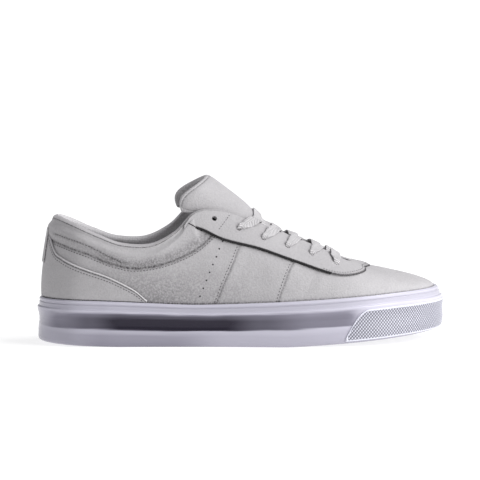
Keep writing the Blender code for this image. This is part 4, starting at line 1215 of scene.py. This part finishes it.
def lace_start(row, side, lean=0.0):
    """Stops of the lace from under an eyelet up through it and over to the throat's edge."""
    stops = in_eyelet(row, side)
    top = OVERLAY_GAP + OVERLAY_THICKNESS + LACE_THICKNESS / 2
    for share, more, width, thick in ((0.10, 0.6, 0.62, 1.35), (0.38, 0.4, 0.86, 1.05), (1.0, 0.7, 1.0, 1.0)):
        x = eyelet_x(row) + lean * share * EYELET_PITCH
        place, level = place_beside_throat(x, EYELET_INSETS[row] * (1.0 - share), side)
        spot, up = skin_spot(place, level)
        stops.append((spot + up * (top + more * MM), flat_ahead(up), width, thick))
    return stops


def lace_run(row, side):
    """Stops of a crossing: from one eyelet over the tongue and under the far side to the next eyelet."""
    crown = LACE_CROWNS[row - 1]
    edge_y = abs(lace_start(row + 1, -side, crown)[-1][0][1])
    stops = lace_start(row, side, 0.8 * crown)
    over = 0.65 if side < 0 else -0.4
    for more, across, layers in ((-0.06, 0.62, 0.9), (0.0, 0.0, over), (0.08, -0.40, -0.3),
                                 (0.14, -0.66, -0.3)):
        x = eyelet_x(row) + (crown + more) * EYELET_PITCH
        stops.append((*over_tongue(x, side * edge_y * across, layers), 1.0, 1.0))
    return stops + in_eyelet(row + 1, -side)[:1]


def lace_bar_stops():
    row = EYELET_ROWS - 1
    crown = [(*over_tongue(eyelet_x(row), y * BALL_WIDTH, layers), 1.0, 1.0)
             for y, layers in ((-0.10, 0.9), (0.0, 0.7), (0.10, 0.9))]
    return lace_start(row, -1) + crown + lace_start(row, 1)[::-1]


def tape(stops, start, samples=72):
    """A flat tape with rounded edges through its stops: points, faces and a UV map along its length."""
    points = np.array([stop[0] for stop in stops])
    knots = run_along(points)
    places = np.linspace(0.0, knots[-1], samples)
    line = bend_through(knots, points, places)
    along = unit(np.gradient(line, axis=0))
    side = bend_through(knots, np.array([stop[1] for stop in stops]), places)
    side = unit(side - along * np.sum(side * along, axis=1, keepdims=True))
    up = np.cross(along, side)
    wide = np.interp(places, knots, [stop[2] for stop in stops]) * LACE_WIDTH / 2
    thick = np.interp(places, knots, [stop[3] for stop in stops]) * LACE_THICKNESS / 2
    around = np.linspace(0.0, 2 * math.pi, TAPE_SIDES, endpoint=False)
    flat = np.sign(np.cos(around)) * np.abs(np.cos(around)) ** 0.5
    tall = np.sign(np.sin(around)) * np.abs(np.sin(around)) ** 0.7
    gathered = (wide < 0.9 * LACE_WIDTH / 2)[:, None]
    pucker = 1 + 0.10 * np.sin(places / (2.1 * MM))[:, None] * np.abs(flat) ** 3 * gathered
    loops = (line[:, None] + side[:, None] * (wide[:, None] * flat * pucker)[..., None]
             + up[:, None] * (thick[:, None] * tall)[..., None])
    uv = np.stack([np.broadcast_to(flat * wide[:, None], (samples, TAPE_SIDES)),
                   np.broadcast_to(places[:, None], (samples, TAPE_SIDES))], axis=-1)
    return loops.reshape(-1, 3), tube_faces(samples, TAPE_SIDES, start), uv.reshape(-1, 2)


def lace_piece(name, runs, *nodes):
    points, faces, uv = [], [], []
    for stops in runs:
        more = tape(stops, sum(len(p) for p in points))
        points.append(more[0])
        faces += more[1]
        uv.append(more[2])
    piece = new_piece(name, np.concatenate(points), faces, [lace_weave], uv=np.concatenate(uv) / UV_STEP)
    return place_piece(piece, "lace_tape", *nodes)


def woven_tape():
    """Cotton and polyester tape, plain woven: ribs across it in a herringbone, drawn 1.5 mm apart to show."""
    material, tree, shader = new_material("woven_lace", Roughness=0.85, Sheen_Weight=0.25)
    where = add_node(tree, "ShaderNodeUVMap", uv_map="UVMap").outputs["UV"]
    parts = add_node(tree, "ShaderNodeSeparateXYZ", links={"Vector": where}).outputs
    slant = maths(tree, "MULTIPLY_ADD", maths(tree, "ABSOLUTE", parts["X"]), 0.8, parts["Y"])
    ribs = maths(tree, "SINE", maths(tree, "MULTIPLY", slant, 2 * math.pi * UV_STEP / RIB_PITCH))
    height = maths(tree, "MULTIPLY_ADD", ribs, 0.5, 0.5)
    tone = ramp(tree, height, ((0.0, "#8E8C8E"), (0.6, "#CCCACC")), "LINEAR")
    finish(tree, shader, tone, height, 0.9, 0.4 * MM)
    return material


lace_weave = woven_tape()
lace_piece("lace_straight_bar", [lace_bar_stops()], "lace_bar")
for row in range(1, EYELET_ROWS - 1):
    lace_piece(f"lace_crossing_{row + 1}", [lace_run(row, -1), lace_run(row, 1)], f"lace_cross_{row + 1}")


# Stitching. Polyester thread in lockstitch rows along the eyestay, the heel counter and the seams, and a
# thick dark thread wound over the eyestay's lower edge.
def stitch_tree():
    """Geometry nodes: one stitch at every pitch along paths, laid along the path and flat on its up mark."""
    tree = bpy.data.node_groups.new("stitch_rows", "GeometryNodeTree")
    face = tree.interface
    face.new_socket("Path", in_out="INPUT", socket_type="NodeSocketGeometry")
    for name in ("Pitch", "Length", "Width", "Height", "Turn"):
        face.new_socket(name, in_out="INPUT", socket_type="NodeSocketFloat")
    face.new_socket("Thread", in_out="INPUT", socket_type="NodeSocketMaterial")
    face.new_socket("Stitches", in_out="OUTPUT", socket_type="NodeSocketGeometry")
    given = add_node(tree, "NodeGroupInput").outputs
    curve = add_node(tree, "GeometryNodeMeshToCurve", links={"Mesh": given["Path"]})
    spaced = add_node(tree, "GeometryNodeResampleCurve", links={"Curve": curve.outputs["Curve"],
                                                                "Length": given["Pitch"]}, mode="LENGTH")
    bead = add_node(tree, "GeometryNodeMeshUVSphere", {"Segments": 8, "Rings": 6, "Radius": 0.5})
    size = add_node(tree, "ShaderNodeCombineXYZ", links={"X": given["Length"], "Y": given["Width"],
                                                         "Z": given["Height"]})
    tangent = add_node(tree, "GeometryNodeInputTangent").outputs["Tangent"]
    up = add_node(tree, "GeometryNodeInputNamedAttribute", {"Name": "up"}, data_type="FLOAT_VECTOR")
    align = "FunctionNodeAlignRotationToVector"
    flat = add_node(tree, align, links={"Vector": up.outputs["Attribute"]}, axis="Z").outputs["Rotation"]
    ahead = add_node(tree, align, links={"Vector": tangent, "Rotation": flat}, axis="X", pivot_axis="Z")
    slant = add_node(tree, "FunctionNodeAxisAngleToRotation", {"Axis": (0.0, 0.0, 1.0)},
                     {"Angle": given["Turn"]})
    laid = add_node(tree, "FunctionNodeRotateRotation", rotation_space="LOCAL",
                    links={"Rotation": ahead.outputs["Rotation"], "Rotate By": slant.outputs["Rotation"]})
    row = add_node(tree, "GeometryNodeInstanceOnPoints",
                   links={"Points": spaced.outputs["Curve"], "Instance": bead.outputs["Mesh"],
                          "Rotation": laid.outputs["Rotation"], "Scale": size.outputs["Vector"]})
    real = add_node(tree, "GeometryNodeRealizeInstances", links={"Geometry": row.outputs["Instances"]})
    painted = add_node(tree, "GeometryNodeSetMaterial", links={"Geometry": real.outputs["Geometry"],
                                                               "Material": given["Thread"]})
    add_node(tree, "NodeGroupOutput", links={"Stitches": painted.outputs["Geometry"]})
    return tree


stitch_rows = stitch_tree()

# Each kind of stitch or hole: its pitch, length, width and height in millimetres and its slant in degrees
STITCHES = {
    "edge": (1.7, 3.0, 1.7, 2.0, 38.0),
    "end": (1.4, 1.9, 0.7, 0.5, 38.0),
    "lead": (1.4, 1.6, 0.9, 0.7, 0.0),
    "stay": (2.0, 1.3, 0.55, 0.4, 0.0),
    "counter": (2.2, 1.6, 0.6, 0.35, 0.0),
    "seam": (2.3, 1.5, 0.6, 0.4, 0.0),
    "vent": (6.0, 1.3, 1.3, 0.3, 0.0),
}


def sew(name, paths, kind, thread, slot):
    """Rows of one kind of stitch along paths, each a pair of points and ways up, as one plain mesh."""
    points, ups, edges = [], [], []
    for line, up in paths:
        start = len(points)
        points += [tuple(p) for p in np.asarray(line) + SHIFT]
        ups += [tuple(u) for u in up]
        edges += [(start + i, start + i + 1) for i in range(len(line) - 1)]
    mesh = bpy.data.meshes.new(name)
    mesh.from_pydata(points, edges, [])
    mesh.attributes.new("up", "FLOAT_VECTOR", "POINT").data.foreach_set("vector", np.array(ups).ravel())
    guide = add_object(name + "_guide", mesh)
    modifier = guide.modifiers.new("stitches", "NODES")
    modifier.node_group = stitch_rows
    *sizes, slant = STITCHES[kind]
    values = dict(zip(("Pitch", "Length", "Width", "Height"), [size * MM for size in sizes]),
                  Turn=math.radians(slant), Thread=thread)
    for item in stitch_rows.interface.items_tree:
        if item.in_out == "INPUT" and item.name in values:
            modifier[item.identifier] = values[item.name]
    result = bpy.data.meshes.new_from_object(guide.evaluated_get(bpy.context.evaluated_depsgraph_get()))
    bpy.data.objects.remove(guide)
    result.shade_smooth()
    return place_piece(add_object(name, result), slot)


def thread_finish(name, light, dark):
    """Twisted polyester thread: the twist shows as fine darker bands."""
    material, tree, shader = new_material(name, Roughness=0.75)
    twist = waves(tree, Scale=900.0, Distortion=2.0)
    finish(tree, shader, ramp(tree, twist, ((0.0, dark), (1.0, light)), "LINEAR"))
    return material


def skin_path(places, rises, lift):
    """Points and ways up on the upper's face at places and rises, lifted off it."""
    rises = np.clip(np.asarray(rises), -1.0, 0.999)[:, None]
    face, up = skin(places, rises)[:, 0], skin_normals(places, rises)[:, 0]
    return face + up * lift, up


def shifted(places, rises, distance):
    """Rises moved up the upper's face by a distance in metres."""
    return rise_at_distance(places, edge_gaps(places, rises[:, None])[:, 0] - distance)


def relief_path(places, rises, more):
    """Points and ways up on the suede itself, with its relief."""
    rises = rises[:, None]
    face, up = skin(places, rises), skin_normals(places, rises)[:, 0]
    lift, _ = upper_relief(places, rises, face, edge_gaps(places, rises))
    return face[:, 0] + up * (lift + more), up


# Stitch row across the eyestay between its first two eyelets, as the lines of the upper
STAY_ROW = table(("x", "height"), [(0.4654, 1.040), (0.4520, 0.985), (0.4380, 0.933)])
# The eyestay's edge thread goes on as a thin row up to the collar's edge
STAY_LEAD = table(("x", "height"), [(0.3960, 0.9300), (0.3789, 0.9600), (0.3650, 0.9840)])
VENT_OFFSET = 13.0 * MM
SEARCH_PLACES = {-1: np.linspace(0.0, 0.5, 700), 1: np.linspace(1.0, 0.5, 700)}
SEARCH_RISES = np.linspace(0.0, 1.0, 240)


def places_of_line(line, side, offset=0.0):
    """Ring places and rises on one side of the shoe under a line seen from the side, moved to its left."""
    points = line_points(line)
    way = unit(np.gradient(points, axis=0))
    points = points + np.stack([-way[:, 1], way[:, 0]], axis=1) * offset
    spots = skin(SEARCH_PLACES[side], SEARCH_RISES)[..., [0, 2]]
    found = []
    for point in points:
        far = np.sum((spots - point) ** 2, axis=-1)
        index = np.unravel_index(np.argmin(far), far.shape)
        found.append((SEARCH_PLACES[side][index[0]], SEARCH_RISES[index[1]]))
    found = np.array(found)
    return smoothed(found[:, 0], 3), smoothed(found[:, 1], 3)


grey_thread = thread_finish("grey_thread", "#5E5C5E", "#3A383A")
dark_thread = thread_finish("dark_thread", "#181618", "#0A080A")
overlay_top = OVERLAY_GAP + OVERLAY_THICKNESS

places, low, _ = stay
edge_rises = shifted(places, low, -0.6 * MM)
off_middle = np.abs(places - 0.5)
for kind, first, last, depth, thread in (("edge", 0.150, 0.298, 0.6, dark_thread),
                                         ("end", 0.0, 0.150, 0.4, grey_thread)):
    halves = []
    for half in (-1, 1):
        part = (off_middle >= first) & (off_middle <= last) & ((places - 0.5) * half >= 0)
        halves.append(skin_path(places[part], edge_rises[part], overlay_top * depth))
    sew(f"eyestay_{kind}_thread", halves, kind, thread, "overlay_suede")
lead = [relief_path(*places_of_line(STAY_LEAD, side), 0.1 * MM) for side in (-1, 1)]
sew("eyestay_lead_thread", lead, "lead", dark_thread, "suede")
stay_rows = [skin_path(*places_of_line(STAY_ROW, side), overlay_top + 0.03 * MM) for side in (-1, 1)]
front = off_middle < 0.155
stay_rows.append(skin_path(places[front], shifted(places, low, 1.9 * MM)[front], overlay_top + 0.03 * MM))
sew("eyestay_stitches", stay_rows, "stay", grey_thread, "overlay_suede")

places, _, high = counter
sewn = slice(4, -4)
rows = [skin_path(places[sewn], shifted(places, high, -distance * MM)[sewn], overlay_top + 0.02 * MM)
        for distance in (1.6, 3.8)]
sew("heel_counter_stitches", rows, "counter", grey_thread, "overlay_suede")

sewn_beside = ((COLLAR_SEAM, -1.9 * MM), (PAD_STITCH, 0.0), (SEAM_BACK, -1.7 * MM), (SEAM_FRONT, -1.7 * MM))
seams = [relief_path(*places_of_line(line, side, offset), 0.05 * MM)
         for side in (-1, 1) for line, offset in sewn_beside]
sew("panel_seam_stitches", seams, "seam", grey_thread, "suede")

# Vent pinholes, a straight row of plain punched holes behind the quarter's back seam, drawn as small flat
# dark dots on the suede, painted shade for the inside of each hole
pinhole_shade_paths = [relief_path(*places_of_line(SEAM_BACK, side, -VENT_OFFSET), 0.0) for side in (-1, 1)]
sew("vent_pinhole_shade_dots", pinhole_shade_paths, "vent", dark_thread, "suede")


# Floor and light. A plain white floor under a pale sky, and one broad soft sun from above the toe, so
# the forefoot is bright and the heel lies in softer light.
FLOOR_HALF = 80.0
SKY = (0.30, 0.30, 0.31, 1.0)
HORIZON = (0.84, 0.84, 0.85, 1.0)
SUN_WAY = (0.64, -0.10, 0.76)
SUN_STRENGTH = 2.3
SUN_ANGLE = math.radians(50.0)
SOFTBOX_PLACE = (0.40, -0.36, 0.20)
SOFTBOX_AIM = (0.04, -0.05, 0.04)
SOFTBOX_SIZE = 0.25
SOFTBOX_POWER = 1.75
floor_mesh = bpy.data.meshes.new("floor")
corners = ((-1, -1), (1, -1), (1, 1), (-1, 1))
floor_mesh.from_pydata([(x * FLOOR_HALF, y * FLOOR_HALF, 0.0) for x, y in corners], [], [(0, 1, 2, 3)])
floor_mesh.materials.append(new_material("floor_white", Base_Color=linear("#A8A8A8"), Roughness=0.9,
                                         Emission_Strength=0.75, Emission_Color=(1.0, 1.0, 1.0, 1.0))[0])
add_object("floor", floor_mesh)
world = bpy.data.worlds.new("studio")
bpy.context.scene.world = world
world.use_nodes = True
sky = world.node_tree
way = add_node(sky, "ShaderNodeTexCoord").outputs["Generated"]
height = add_node(sky, "ShaderNodeSeparateXYZ", links={"Vector": way}).outputs["Z"]
fade = add_node(sky, "ShaderNodeMapRange", {"From Min": 0.02, "From Max": 0.30}, {"Value": height})
blend = blended(sky, fade.outputs["Result"], HORIZON, SKY)
sky.links.new(blend, sky.nodes["Background"].inputs["Color"])
sun_data = bpy.data.lights.new("broad_sun", "SUN")
sun_data.energy, sun_data.angle = SUN_STRENGTH, SUN_ANGLE
sun = add_object("broad_sun", sun_data)
sun.rotation_euler = Vector(SUN_WAY).to_track_quat("Z", "Y").to_euler()
box_data = bpy.data.lights.new("toe_softbox", "AREA")
box_data.energy, box_data.size = SOFTBOX_POWER, SOFTBOX_SIZE
softbox = add_object("toe_softbox", box_data)
softbox.location = SOFTBOX_PLACE
softbox.rotation_euler = (Vector(SOFTBOX_PLACE) - Vector(SOFTBOX_AIM)).to_track_quat("Z", "Y").to_euler()
bpy.context.scene.view_settings.view_transform = "Standard"
